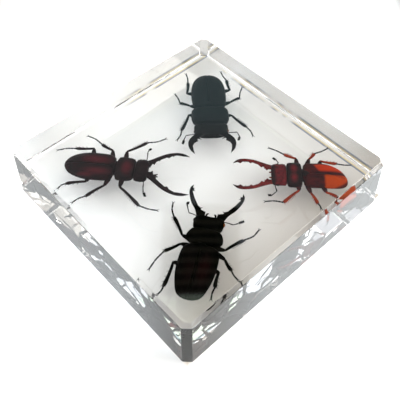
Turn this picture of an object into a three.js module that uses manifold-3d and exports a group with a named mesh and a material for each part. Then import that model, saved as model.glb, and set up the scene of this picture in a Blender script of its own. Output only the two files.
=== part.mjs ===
// Four stag beetles cast in one clear resin block, a desk paperweight.
// Units are millimetres and +Z is up. The origin is the centre of the block's underside,
// with the sides of the block along X and Y. Each beetle lies on a diagonal of the block,
// jaws toward the centre, with its back up.
//
// The resin is parted in two at the beetles' mid-height, so that every beetle lies in a
// pocket that opens onto the parting plane.

import * as THREE from 'three';
import { mergeVertices } from 'three/addons/utils/BufferGeometryUtils.js';
import Module from 'manifold-3d';

const wasm = await Module();
wasm.setup();

// ---- Driving dimensions of the block ----
const TOP_WIDTH = 110;
const BLOCK_HEIGHT = 27;
const MOULD_DRAFT = 1.5; // how far each side leans out from the top to the underside
const EDGE_BEVEL = 1.2;
const CORNER_CHAMFER = 2.6;
const PARTING_HEIGHT = 13.5;

// ---- Clearances and facets ----
const POCKET_GAP = 0.5;
const POCKET_END_GAP = 0.75; // how far a hollow runs past the end of its limb
const BODY_SIDES = 12;
const LEG_SIDES = 4;
const THIN_LIMB_SIDES = 3;
const POCKET_BODY_SIDES = 8;
const POCKET_LIMB_SIDES = 4;

// ---- Anatomy that all four beetles share ----
const UP = new THREE.Vector3(0, 0, 1);
const SIDES = [['left', 1], ['right', -1]];
const BACK_RISE = 0.5; // height of the body's upper side over its half width
const BELLY_DROP = 0.42;
const HEAD_RISE = 0.4;
const SUTURE_DEPTH = 0.35;
const SUTURE_START = 0.5; // from the tip of the abdomen
const ON_MIDLINE = 1e-6;
const SWAY_REACH = 12; // the stretch of the abdomen that a beetle's `sway` bends sideways
const HIP_REACH = 0.6; // how far out a leg's root lies, as a share of the flank's distance
const LEG_HEIGHTS = [-1.2, 0, -0.5, -0.6]; // hip, knee, ankle and claw
const LEG_RADII = [1.15, 0.85, 0.75, 0.35];
const HOLLOW_LEG_RADII = [1.6, 1, 1.6, 0.8];
const SPUR = { radii: [0.45, 0.1], length: 1.3 };
const FEELER_RADII = [0.4, 0.32, 0.5, 0.72];
const PALP = { radii: [0.4, 0.3], rootDepth: 1.5, rootSide: 1.2, reach: 2.4, tipSide: 1.8 };
const EYE_RADIUS = 1.25;
const JAW_THICKNESS = 1.5;
const JAW_EDGE = 0.3;
const HOLLOW_JAW = { radius: 2.3, taper: 0.15 };

const COLOURS = {
  resin: 0xf2f5f6,
  black: 0x14171a,
  redBrown: 0x35100f,
  orange: 0xb23f10,
  blackRed: 0x1b1011,
};

// ---- The four beetles ----
// In a beetle's own frame +X runs from the tip of the abdomen to the jaws, +Y is its left
// side and +Z its back. `body` is [station, half width] from the abdomen's tip to the front
// of the head, with the waist and the neck as the narrow stations. `jaw` is the left jaw's
// outline, `outer` from root to tip and `inner` from tip to root. Legs and feelers are
// [station, side] points from the flank outward. `sway` is how far the tip of the abdomen
// is bent to the left.
const BEETLES = [
  {
    name: 'beetle_black_broad',
    colour: COLOURS.black,
    place: { x: -38.9, y: 41.6, heading: -38.8 },
    body: [
      [0, 0], [0.3, 2.4], [1.6, 4.6], [4.5, 6.6], [8.5, 7.7], [13, 8], [18, 7.8], [21.5, 7.1],
      [22.4, 6.3], [23.1, 7.6], [24.8, 8.3], [29.3, 8.4], [31.8, 7.6], [32.5, 6.8],
      [33.3, 7.4], [36, 7.5], [38.3, 7], [39.7, 5.3], [39, 2.6], [38.7, 0],
    ],
    neck: 32.5,
    eye: [36.4, 7],
    jaw: {
      outer: [[37, 6.4], [39, 8.2], [41.5, 9.8], [44.3, 10.2], [47, 9.4], [49, 7.8]],
      inner: [[46.4, 7.8], [43.4, 7.6], [41.9, 5.9], [41, 6.4], [39, 4.2], [37, 4.2]],
    },
    feelers: {
      left: [[37.6, 6.4], [37.5, 10.9], [40.3, 11.7], [42.6, 10.9]],
      right: [[37.6, -6.4], [38.5, -11.2], [41, -12.2], [43.6, -13]],
    },
    legs: {
      left: [
        [[26.7, 8.3], [27.7, 9.6], [34.3, 15], [40.7, 18]],
        [[20.1, 7.4], [18.7, 10], [16, 14.2], [8.4, 16.2]],
        [[11.5, 7.8], [10.8, 10.2], [3.9, 9.1], [-2.8, 6.6]],
      ],
      right: [
        [[26.8, -8.3], [25.9, -9.5], [35, -13], [40.7, -15.5]],
        [[21, -7.2], [20.3, -9], [18.1, -13.3], [11.4, -15.7]],
        [[12.4, -8], [12.2, -10], [4.9, -9.2], [-2.1, -10]],
      ],
    },
  },
  {
    name: 'beetle_red_brown',
    colour: COLOURS.redBrown,
    place: { x: -39, y: -39.7, heading: 40.7 },
    body: [
      [0, 0], [0.4, 1.8], [2.2, 4.2], [5.2, 5.9], [9.5, 7], [15, 7.1], [19, 6.7], [21, 5.3],
      [21.6, 3.7], [22.1, 4.6], [22.8, 5.8], [24.6, 6.1], [28, 5.9], [29.4, 5.3], [29.9, 4.6],
      [30.4, 5.4], [32, 5.8], [34.4, 5.6], [35.4, 4.6], [35.2, 2], [35, 0],
    ],
    neck: 29.9,
    eye: [33, 5.2],
    jaw: {
      outer: [[33.6, 5], [36.2, 6.4], [38.6, 8], [42.3, 10.1], [46.4, 11.2], [49.5, 10.9], [52, 9.7]],
      inner: [
        [49.4, 9.7], [46.3, 9.9], [44.2, 9.1], [43.2, 7.9], [42.4, 8.3], [40, 6.7], [38.2, 5.4],
        [37.6, 3.6], [36.8, 4.2], [36, 1.8], [35.2, 2.6], [33.6, 2.6],
      ],
    },
    feelers: {
      left: [[34, 5.2], [33.7, 10], [34, 11.4], [34.7, 12.6]],
      right: [[34.4, -5.2], [34.9, -8.6], [35.4, -11], [36.6, -13.5]],
    },
    legs: {
      left: [
        [[25, 6], [24.8, 9.7], [32.5, 15.9], [40.8, 19.4]],
        [[19.5, 6.8], [18.6, 9.5], [13.3, 12.2], [5.5, 16.7]],
        [[11.1, 7], [10.4, 9.7], [2.7, 9], [-5.9, 6.5]],
      ],
      right: [
        [[25.5, -6], [25.7, -9.2], [34.9, -17.4], [43.2, -19.2]],
        [[20.2, -6.2], [19, -9.5], [12.7, -15.4], [7.5, -19.7]],
        [[11.6, -7], [11.1, -8.4], [3, -10.2], [0.2, -13.3]],
      ],
    },
  },
  {
    name: 'beetle_orange',
    colour: COLOURS.orange,
    place: { x: 46.3, y: 42.5, heading: -134.5 },
    sway: 1.5,
    body: [
      [0.4, 0], [0.7, 1.6], [2.2, 3.8], [5, 5.3], [9, 6.3], [14, 6.5], [17, 6.1], [18.3, 4.9],
      [18.7, 3.3], [19.1, 5.2], [19.9, 6.2], [23, 6.4], [24.9, 6], [25.4, 4.9],
      [25.9, 5.5], [28, 5.6], [30.6, 5.4], [31.6, 4.4], [31.2, 2], [31, 0],
    ],
    neck: 25.4,
    eye: [29.2, 5],
    jaw: {
      outer: [[30, 4.8], [32.4, 5.2], [35.2, 6.2], [39, 7.8], [42.9, 8.3], [45.2, 7.8], [47.1, 5.9]],
      inner: [
        [45, 6.5], [44.2, 5.9], [43.4, 6.9], [41, 6.8], [40.2, 5.9], [39.4, 6.5], [37, 5.4],
        [35.8, 3.7], [34.9, 4.1], [33.5, 2.1], [32.6, 2.8], [30, 2.4],
      ],
    },
    feelers: {
      left: [[30.4, 4.8], [29.7, 8.6], [31.9, 10.8], [33.5, 10.9]],
      right: [[28.6, -5], [28.5, -6.7], [29.4, -8], [30.7, -9.3]],
    },
    legs: {
      left: [
        [[20.6, 6.2], [20.7, 8], [27.2, 14], [35.3, 14.3]],
        [[17.2, 6.2], [16, 9.2], [13.6, 14], [12.4, 16.7]],
        [[10.8, 6.6], [9.7, 8.7], [5.6, 10.5], [3.4, 12]],
      ],
      right: [
        [[20.5, -6.2], [20.9, -9.1], [25.7, -11.3], [32.5, -15.2]],
        [[17, -6.2], [15.4, -9], [12.9, -12.2], [6.3, -15.7]],
        [[11.4, -6.4], [10.8, -8], [4.1, -6.9], [-2.2, -6.3]],
      ],
    },
  },
  {
    name: 'beetle_black_long_jawed',
    colour: COLOURS.blackRed,
    place: { x: 43.3, y: -44.2, heading: 123.6 },
    body: [
      [0, 0], [0.3, 2.2], [1.8, 4.6], [5.5, 6.2], [11, 7.4], [16.5, 7.6], [21, 7.1], [22.6, 5.8],
      [23.2, 4.6], [23.8, 5.9], [25.2, 7.2], [27.5, 7.2], [29.8, 6], [30.4, 5.3],
      [31, 5.7], [33.5, 6.1], [35.8, 5.7], [36.8, 4.2], [36.2, 1.8], [35.9, 0],
    ],
    neck: 30.4,
    eye: [34.2, 5.6],
    jaw: {
      outer: [[35.2, 5.4], [38.6, 6.5], [42, 8.9], [46.2, 10.6], [49.1, 10.9], [50.8, 9.8]],
      inner: [
        [49.2, 9.9], [48.2, 9.1], [47.4, 9.6], [44.4, 8], [40.8, 5.6], [40.2, 4.6],
        [39.4, 4.6], [38.6, 2.5], [37.4, 2.4], [35.2, 2.4],
      ],
    },
    feelers: {
      left: [[36, 5.2], [36.8, 8.8], [40.5, 10.5], [42, 10.5]],
      right: [[35.6, -5.2], [35.3, -9.3], [36.4, -11.2], [38, -13.5]],
    },
    legs: {
      left: [
        [[25.2, 6.6], [26.1, 8.8], [33.6, 14], [40.9, 16.5]],
        [[22.5, 6], [22.2, 8.4], [17.8, 13.5], [8, 17.2]],
        [[13.5, 7.4], [14, 8.9], [3.4, 9.7], [-0.4, 10.9]],
      ],
      right: [
        [[23.6, -6], [23.7, -8.7], [30, -14.4], [36.4, -19.6]],
        [[21.4, -6.8], [18.8, -9.8], [15.5, -12.8], [12.1, -16.2]],
        [[13.9, -7.4], [13.7, -8.8], [7.4, -8.4], [2.9, -8.5]],
      ],
    },
  },
];

// ---- From geometry to solid and back ----

function solidOf(geometry) {
  const bare = geometry.clone();
  bare.deleteAttribute('normal');
  bare.deleteAttribute('uv');
  const welded = mergeVertices(bare, 1e-4);
  return new wasm.Manifold(new wasm.Mesh({
    numProp: 3,
    vertProperties: Float32Array.from(welded.attributes.position.array),
    triVerts: Uint32Array.from(welded.index.array),
  }));
}

function geometryOf(solid) {
  const mesh = solid.getMesh();
  const geometry = new THREE.BufferGeometry();
  geometry.setAttribute('position', new THREE.BufferAttribute(mesh.vertProperties, 3));
  geometry.setIndex(new THREE.BufferAttribute(mesh.triVerts, 1));
  geometry.computeVertexNormals();
  return geometry;
}

function joined(geometries) {
  return geometries.map(solidOf).reduce((whole, piece) => whole.add(piece));
}

// Moves every vertex of a geometry by a function of its position.
function reshape(geometry, move) {
  const position = geometry.attributes.position;
  const vertex = new THREE.Vector3();
  for (let i = 0; i < position.count; i += 1) {
    vertex.fromBufferAttribute(position, i);
    move(vertex);
    position.setXYZ(i, vertex.x, vertex.y, vertex.z);
  }
  return geometry;
}

// ---- Pieces of a beetle ----
// `gap` is 0 for the beetle itself and the pocket's clearance for the hollow around it.
// A hollow has fewer sides, so its radii grow until its flats still clear the beetle.

function grown(radius, gap, sides) {
  return gap === 0 ? radius : (radius + gap) / Math.cos(Math.PI / sides);
}

// The waist is the narrow station between the wing cases and the pronotum.
function waistOf(body) {
  const middle = body.slice(4, -4);
  return middle.find(([, half], i) => i > 2 && half < middle[i + 1][1])[0];
}

// A plain envelope of the trunk and the palps, without the waist and the neck.
function pocketOutline(body, gap) {
  const widest = Math.max(...body.map(([, half]) => half));
  const headHalf = Math.max(...body.slice(-5).map(([, half]) => half));
  const tail = body[0][0] - gap;
  const front = body.at(-1)[0] + PALP.reach + gap;
  return [
    [tail, 0], [tail, widest * 0.4], [tail + 3, widest * 0.82], [tail + 8, widest],
    [front - 8, widest], [front - 2, headHalf], [front, headHalf * 0.8], [front, 0],
  ];
}

// The trunk is turned from its outline and laid along +X, then flattened: the back rises
// more than the belly drops, the head is lower, and a crease marks where the wing cases meet.
function trunk({ body, neck, sway = 0 }, gap) {
  const sides = gap === 0 ? BODY_SIDES : POCKET_BODY_SIDES;
  const outline = gap === 0 ? body : pocketOutline(body, gap);
  const profile = outline.map(([station, half]) => (
    new THREE.Vector2(half === 0 ? 0 : grown(half, gap, sides), station)
  ));
  const turned = new THREE.LatheGeometry(profile, sides).rotateZ(-Math.PI / 2);
  const [tail, waist] = [body[0][0], waistOf(body)];
  return reshape(turned, (vertex) => {
    const onTop = vertex.z > 0;
    const rise = vertex.x > neck && gap === 0 ? HEAD_RISE : BACK_RISE;
    vertex.z *= onTop ? rise : BELLY_DROP;
    vertex.z += Math.sign(vertex.z) * gap * 0.5;
    const onWingCases = vertex.x > tail + SUTURE_START && vertex.x < waist;
    const onSuture = onTop && onWingCases && Math.abs(vertex.y) < ON_MIDLINE;
    if (onSuture && gap === 0) vertex.z -= SUTURE_DEPTH;
    vertex.y += sway * Math.max(0, 1 - vertex.x / SWAY_REACH) ** 2;
  });
}

// A tube with its own radius at each point of its route: the rings of a cylinder are moved
// onto the route, each square to the way the route runs there.
function limb(points, radii, gap, ownSides = THIN_LIMB_SIDES) {
  const sides = gap === 0 ? ownSides : POCKET_LIMB_SIDES;
  const bands = points.length - 1;
  const tube = new THREE.CylinderGeometry(1, 1, bands, sides, bands);
  const rings = points.map((point, i) => {
    const ahead = points[Math.min(i + 1, bands)].clone().sub(point).normalize();
    const behind = point.clone().sub(points[Math.max(i - 1, 0)]).normalize();
    const along = ahead.add(behind).normalize();
    const across = new THREE.Vector3().crossVectors(along, UP).normalize();
    const above = new THREE.Vector3().crossVectors(across, along);
    return { point, across, above, radius: grown(radii[i], gap, sides) };
  });
  return reshape(tube, (vertex) => {
    const { point, across, above, radius } = rings[Math.round(vertex.y + bands / 2)];
    const [aside, aloft] = [vertex.x * radius, vertex.z * radius];
    vertex.copy(point).addScaledVector(across, aside).addScaledVector(above, aloft);
  });
}

// A route through the points of a hollow lies on the parting plane and ends past its limb.
function hollowRoute(points) {
  const route = points.map(([station, out]) => new THREE.Vector3(station, out, 0));
  const [before, tip] = route.slice(-2);
  tip.add(tip.clone().sub(before).setLength(POCKET_END_GAP));
  return route;
}

// A leg runs from inside the flank over the knee and the ankle to the claw, with a spur
// on the outside of the ankle.
function leg(points) {
  const hip = [points[0][0], points[0][1] * HIP_REACH];
  const route = [hip, ...points.slice(1)].map(([station, out], i) => (
    new THREE.Vector3(station, out, LEG_HEIGHTS[i])
  ));
  const [, knee, ankle] = route;
  const shin = ankle.clone().sub(knee).setLength(SPUR.length / 2);
  const outward = new THREE.Vector3(0, Math.sign(ankle.y) * SPUR.length, 0);
  const spurTip = ankle.clone().add(shin).add(outward);
  return [limb(route, LEG_RADII, 0, LEG_SIDES), limb([ankle, spurTip], SPUR.radii, 0)];
}

function legHollow(points) {
  const hip = [points[0][0], points[0][1] * HIP_REACH];
  return limb(hollowRoute([hip, ...points.slice(1)]), HOLLOW_LEG_RADII, POCKET_GAP);
}

// A feeler has a long first joint, a thin lash and a thicker club at its end.
function feeler(points) {
  return limb(points.map(([station, out]) => new THREE.Vector3(station, out, 0)), FEELER_RADII, 0);
}

function feelerHollow(points) {
  return limb(hollowRoute(points), FEELER_RADII, POCKET_GAP);
}

// The outline of one jaw with its teeth, cut from a plate with bevelled edges.
function jaw({ outer, inner }, side) {
  const outline = [...outer, ...inner].map(([station, out]) => new THREE.Vector2(station, out * side));
  const plate = new THREE.ExtrudeGeometry(new THREE.Shape(outline), {
    depth: JAW_THICKNESS - 2 * JAW_EDGE,
    bevelThickness: JAW_EDGE,
    bevelSize: JAW_EDGE,
    bevelOffset: -JAW_EDGE,
    bevelSegments: 1,
  });
  return plate.translate(0, 0, JAW_EDGE - JAW_THICKNESS / 2);
}

// The hollow around a jaw runs along its middle, wide enough for the teeth.
function jawHollow({ outer, inner }, side) {
  const rootSide = inner.at(-1)[1];
  const edge = outer.filter((_, i) => i % 2 === 0 || i === outer.length - 1);
  const middle = edge.map(([station, out], i) => {
    const share = 1 - i / (edge.length - 1);
    return [station, side * (out - 0.5 - (share * (out - rootSide)) / 2)];
  });
  const radii = edge.map((_, i) => HOLLOW_JAW.radius - HOLLOW_JAW.taper * i);
  return limb(hollowRoute(middle), radii, POCKET_GAP);
}

function eye([station, out], side) {
  return new THREE.IcosahedronGeometry(EYE_RADIUS, 0).translate(station, out * side, 0);
}

function palp(front, side) {
  const root = new THREE.Vector3(front - PALP.rootDepth, side * PALP.rootSide, 0);
  const tip = new THREE.Vector3(front + PALP.reach, side * PALP.tipSide, 0);
  return limb([root, tip], PALP.radii, 0);
}

function beetleSolid(beetle) {
  const front = beetle.body.at(-1)[0];
  const pieces = [trunk(beetle, 0)];
  for (const [name, side] of SIDES) {
    pieces.push(jaw(beetle.jaw, side), feeler(beetle.feelers[name]));
    pieces.push(eye(beetle.eye, side), palp(front, side));
    pieces.push(...beetle.legs[name].flatMap(leg));
  }
  return joined(pieces);
}

function pocketSolid(beetle) {
  const pieces = [trunk(beetle, POCKET_GAP)];
  for (const [name, side] of SIDES) {
    pieces.push(jawHollow(beetle.jaw, side), feelerHollow(beetle.feelers[name]));
    pieces.push(...beetle.legs[name].map(legHollow));
  }
  return joined(pieces);
}

// ---- The block ----

// A drafted square block with chamfered corners and bevelled edges, top and bottom.
function blockSolid() {
  const half = TOP_WIDTH / 2;
  const cut = half - CORNER_CHAMFER;
  const corners = [[half, cut], [cut, half], [-cut, half], [-half, cut], [-half, -cut], [-cut, -half],
    [cut, -half], [half, -cut]];
  const section = new THREE.Shape(corners.map(([x, y]) => new THREE.Vector2(x, y)));
  const prism = new THREE.ExtrudeGeometry(section, {
    depth: BLOCK_HEIGHT - 2 * EDGE_BEVEL,
    bevelThickness: EDGE_BEVEL,
    bevelSize: EDGE_BEVEL,
    bevelOffset: -EDGE_BEVEL,
    bevelSegments: 1,
  });
  prism.translate(0, 0, EDGE_BEVEL);
  return solidOf(reshape(prism, (vertex) => {
    const lean = 1 + (MOULD_DRAFT / half) * (1 - vertex.z / BLOCK_HEIGHT);
    vertex.x *= lean;
    vertex.y *= lean;
  }));
}

// Everything under the parting plane, as a slab wider than the block.
function underPartingPlane() {
  const width = TOP_WIDTH * 2;
  const slab = new THREE.BoxGeometry(width, width, PARTING_HEIGHT * 2);
  return solidOf(slab);
}

function meshOf(name, geometry, options) {
  const mesh = new THREE.Mesh(geometry, new THREE.MeshStandardMaterial(options));
  mesh.name = name;
  return mesh;
}

const group = new THREE.Group();

let resin = blockSolid();
for (const beetle of BEETLES) {
  const { x, y, heading } = beetle.place;
  const pocket = geometryOf(pocketSolid(beetle));
  pocket.rotateZ(THREE.MathUtils.degToRad(heading)).translate(x, y, PARTING_HEIGHT);
  resin = resin.subtract(solidOf(pocket));
}
const resinLook = { color: COLOURS.resin, roughness: 0.05, metalness: 0, transparent: true, opacity: 0.25 };
const slab = underPartingPlane();
group.add(meshOf('resin_lower_half', geometryOf(resin.intersect(slab)), resinLook));
group.add(meshOf('resin_upper_half', geometryOf(resin.subtract(slab)), resinLook));

for (const beetle of BEETLES) {
  const look = { color: beetle.colour, roughness: 0.3, metalness: 0 };
  const insect = meshOf(beetle.name, geometryOf(beetleSolid(beetle)), look);
  insect.position.set(beetle.place.x, beetle.place.y, PARTING_HEIGHT);
  insect.rotation.z = THREE.MathUtils.degToRad(beetle.place.heading);
  group.add(insect);
}

export default group;
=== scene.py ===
# %% [markdown]
# # Four stag beetles in a clear resin block
# A desk paperweight: a square block of cast resin with four stag beetles sealed in it. The solid
# model gives the block and the place of each beetle. This lesson dresses it: one clear block, four
# detailed insects, the finish of their shells, a white table and soft light.
# We load the model first, and a helper reads the box of any of its parts.

# %% Load the model
import bpy
import math
import random
from mathutils import Matrix, Vector, noise
from mathutils.geometry import delaunay_2d_cdt


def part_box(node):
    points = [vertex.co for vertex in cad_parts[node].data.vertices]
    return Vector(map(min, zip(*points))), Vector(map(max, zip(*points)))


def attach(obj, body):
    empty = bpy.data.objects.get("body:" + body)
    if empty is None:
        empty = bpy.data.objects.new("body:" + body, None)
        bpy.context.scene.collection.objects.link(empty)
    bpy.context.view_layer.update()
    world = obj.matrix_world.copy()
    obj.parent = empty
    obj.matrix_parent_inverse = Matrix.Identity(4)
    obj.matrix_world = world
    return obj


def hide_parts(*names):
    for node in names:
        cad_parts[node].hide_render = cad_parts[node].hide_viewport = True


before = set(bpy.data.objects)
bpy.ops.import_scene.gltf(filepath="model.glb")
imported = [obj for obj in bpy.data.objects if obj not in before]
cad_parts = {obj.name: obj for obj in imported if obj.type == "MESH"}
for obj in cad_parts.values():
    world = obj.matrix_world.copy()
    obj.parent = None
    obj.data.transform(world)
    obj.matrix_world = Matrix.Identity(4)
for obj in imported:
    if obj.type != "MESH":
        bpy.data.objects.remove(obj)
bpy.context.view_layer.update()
MM = 0.001

# %% [markdown]
# ## Camera
# We look down on the block over its near corner. The camera has a place beside and above the block,
# and two angles turn it: how far it has walked around, and how steeply it looks down. A lens of
# 51 mm keeps the perspective of a picture taken at arm's length.

# %% Camera
CAMERA_AT = (115.6, -104.4, 202.6)  # mm from the middle of the block's underside
CAMERA_AROUND = 47.44               # degrees from the block's front toward its right side
CAMERA_DOWN = 53.06                 # degrees below the horizon
FOCAL_SHARE = 1.428                 # focal length over the width of the sensor
SENSOR_WIDTH = 36.0

camera_data = bpy.data.cameras.new("camera")
camera_data.sensor_fit = "HORIZONTAL"
camera_data.sensor_width = SENSOR_WIDTH
camera_data.lens = SENSOR_WIDTH * FOCAL_SHARE
camera = bpy.data.objects.new("camera", camera_data)
camera.location = [value * MM for value in CAMERA_AT]
camera.rotation_euler = (math.radians(90 - CAMERA_DOWN), 0, math.radians(CAMERA_AROUND))
bpy.context.scene.collection.objects.link(camera)
bpy.context.scene.camera = camera
print("camera lens in mm:", round(camera_data.lens, 1))

# %% [markdown]
# ## Helpers for meshes and materials
# Every piece ends as a plain mesh at the origin, with its place in its vertices. One helper makes an
# object from points and faces, and two make a material and a node. The node helpers take plain
# values or sockets and give back the socket that holds their result, so they nest like a formula.

# %% Mesh helper
def mesh_piece(name, points, faces, smooth=True, edges=()):
    """An object from points in metres, and faces and loose edges as lists of point numbers."""
    mesh = bpy.data.meshes.new(name)
    mesh.from_pydata([tuple(p) for p in points], list(edges), faces)
    mesh.validate()
    if smooth:
        mesh.shade_smooth()
    else:
        mesh.shade_flat()
    piece = bpy.data.objects.new(name, mesh)
    bpy.context.scene.collection.objects.link(piece)
    return piece


def walls(levels, count):
    """Faces between each ring of points and the next one, as lists of point numbers."""
    faces = []
    for level in range(levels - 1):
        for i in range(count):
            a, b = level * count + i, level * count + (i + 1) % count
            faces.append([a, b, b + count, a + count])
    return faces


# %% Material helpers
def new_material(name, **sockets):
    """A material with a Principled shader whose plain sockets are set by name."""
    material = bpy.data.materials.new(name)
    material.use_nodes = True
    shader = material.node_tree.nodes["Principled BSDF"]
    for socket, value in sockets.items():
        shader.inputs[socket.replace("_", " ")].default_value = value
    return material, shader


def add_node(tree, kind, fields=None, **inputs):
    """A node with its fields set, and its plain inputs set or linked by name or number."""
    node = tree.nodes.new(kind)
    for key, value in (fields or {}).items():
        setattr(node, key, value)
    for key, value in inputs.items():
        key = key.lstrip("_")
        socket = node.inputs[int(key) if key.isdigit() else key.replace("_", " ")]
        if isinstance(value, bpy.types.NodeSocket):
            tree.links.new(value, socket)
        else:
            socket.default_value = value
    return node


# %% Node helpers
def maths(tree, operation, *values):
    """A Math node on values or sockets."""
    return add_node(tree, "ShaderNodeMath", {"operation": operation},
                    **{f"_{i}": value for i, value in enumerate(values)}).outputs[0]


def chained(tree, operation, result, *others):
    """An operation on two values, then on its result and the next value, and so on."""
    for other in others:
        result = maths(tree, operation, result, other)
    return result


def product(tree, *values):
    return chained(tree, "MULTIPLY", *values)


def mapped(tree, value, low, high, ends=(0.0, 1.0), soft=False):
    """A value carried from low..high to the two ends and held there, eased in and out if soft."""
    return add_node(tree, "ShaderNodeMapRange", {"interpolation_type": "SMOOTHSTEP"} if soft else None,
                    Value=value, From_Min=low, From_Max=high, To_Min=ends[0], To_Max=ends[1]).outputs[0]


def vector_maths(tree, operation, first, second):
    """A Vector Math node that gives a vector."""
    return add_node(tree, "ShaderNodeVectorMath", {"operation": operation}, _0=first,
                    _1=second).outputs[0]


def toward(tree, vector, direction):
    """How far a vector reaches toward a direction."""
    return add_node(tree, "ShaderNodeVectorMath", {"operation": "DOT_PRODUCT"}, _0=vector,
                    _1=direction).outputs["Value"]


def mixed(tree, share, below, above):
    """Two colours mixed by a mask."""
    below, above = [colour if isinstance(colour, bpy.types.NodeSocket) else (*colour, 1)
                    for colour in (below, above)]
    return add_node(tree, "ShaderNodeMix", {"data_type": "RGBA"}, Factor=share, _6=below,
                    _7=above).outputs[2]


def clouds_at(tree, place, scale, detail=2.0, **inputs):
    """The value of a noise texture."""
    return add_node(tree, "ShaderNodeTexNoise", Vector=place, Scale=scale, Detail=detail,
                    **inputs).outputs["Fac"]


# %% [markdown]
# ## Table and light
# The block lies on a plain white table. Polished resin mirrors 4% of what is above it, so what the
# top face mirrors matters as much as what lights it. An even dome would lay one grey veil over all
# four beetles. In a real room the face mirrors the far corner: walls, a darker ceiling and a lamp
# overhead. So the sky is an even dome with a darker corner opposite the camera, coloured by height,
# and in it a black slatted card, which keeps the near beetle deep black. A large window stands at
# the right and lays the beetles' faint shadows to the left, and one duller patch of sky keeps the
# near right side from showing plain white.
# The table glows a little around the block, brighter at the right, and under the block's left part.
# This glow is painted light: around the block it makes the side faces mirror a bright floor. The
# white sheet is a band that runs away from the camera and ends in a darker table at both sides, and
# the sides of the block show that edge as their greys. A faint warm shade is painted on the table
# under the block's right end and along its back, and painted shade makes the sheet a little duller
# beside the near left side. The lower bevels of real resin split the light, so a broken line lies on
# the sheet inside each far edge, dark blue that turns to yellow. Light paths cannot make it here, as
# the resin has one refractive index for all colours, so it is painted on the sheet.

# %% Table
TABLE_HALF = 3.0
TABLE_GAP = 0.05 * MM  # the thin film of air under the block, without which it would not shine
TABLE_ROUGHNESS = 0.6
TABLE_WHITES = ((0.93, 0.93, 0.925), (0.95, 0.95, 0.95))
GRAIN_SCALE, GRAIN_DETAIL = 60.0, 3.0
ACROSS = (0.676, 0.737, 0.0)   # the direction in which the white sheet is narrow
SHEET_EDGE = (0.125, 0.108)    # metres from the middle: beyond the first it is a dark table
SHEET_DARK = (0.20, 0.20, 0.20)
PAINTED_SHADE_LEFT_SHEET = (0.68, 0.69, 0.70)   # painted shade: a duller sheet beside the near left side
SHADE = (0.53, 0.475, 0.41)    # the painted warm shade on the table under the block's right end
SHADE_FROM = (0.004, 0.055)    # metres: where it starts and where it is full
BACK_SHADE = ((0.026, 0.050), (-0.045, -0.010), 0.55)  # painted shade at the back: its reach in y and x, its share
APEX_SHADE = ((0.030, 0.047), (-0.010, 0.030), 0.45)   # painted shade by the far left edge: the same in -x and y
FRINGE = (0.0535, 0.0540, 0.0551, 0.0555)  # metres from the middle: a line inside the far edges
FRINGE_FROM = ((0.002, 0.016), (-0.052, -0.040))  # metres along the left and the right one
FRINGE_SCALE = 80.0            # of the noise that breaks it
FRINGE_BREAKS = (0.40, 0.52)   # of that noise: where the line is broken and where it is full
FRINGE_TINTS = ((0.03, 0.09, 0.22), (0.85, 0.70, 0.34))
GLOW_TINT = (0.84, 0.93, 1.0, 1)
GLOW = (0.1, 1.3)              # painted light: the table's own glow at the left and at the right
GLOW_REACH = 0.09              # metres from the middle to where these hold
GLOW_EDGE = (0.0552, 0.0566)   # metres: it fades in beside the block
GLOW_FAR = 0.0040              # metres: so much further out at the two far sides
GLOW_NEAR = (0.108, 0.072)     # metres of x - y: it fades out toward the near corner
GLOW_UNDER = (0.10, 0.32)      # painted light under the block's left part, and beside its near left side
UNDER_SIDE = (-0.034, -0.050)  # metres of y between the two
UNDER_RIGHT = 0.2              # its share under the right end

table = mesh_piece("table", [(x * TABLE_HALF, y * TABLE_HALF, -TABLE_GAP)
                             for x, y in ((-1, -1), (1, -1), (1, 1), (-1, 1))], [[0, 1, 2, 3]])
table_white, table_shader = new_material("table_white", Roughness=TABLE_ROUGHNESS)
tree = table_white.node_tree
place = add_node(tree, "ShaderNodeTexCoord").outputs["Object"]
spot_x, spot_y, _ = add_node(tree, "ShaderNodeSeparateXYZ", Vector=place).outputs
minus_x = product(tree, spot_x, -1.0)

# %% Under the block and beside it
SIDES = ((spot_x, 1, 0), (spot_y, -1, 0), (spot_x, -1, GLOW_FAR), (spot_y, 1, GLOW_FAR))
farthest = chained(tree, "MAXIMUM", *[maths(tree, "MULTIPLY_ADD", value, side, -gap)
                                      for value, side, gap in SIDES])
beside_block = mapped(tree, farthest, *GLOW_EDGE)
under_block = mapped(tree, farthest, *reversed(GLOW_EDGE))
# Painted shade: the sheet is duller beyond the near left side.
painted_shade_left_sheet = mapped(tree, spot_y, *[-edge for edge in GLOW_EDGE])
on_sheet = mapped(tree, maths(tree, "ABSOLUTE", toward(tree, place, ACROSS)), *SHEET_EDGE)

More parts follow.
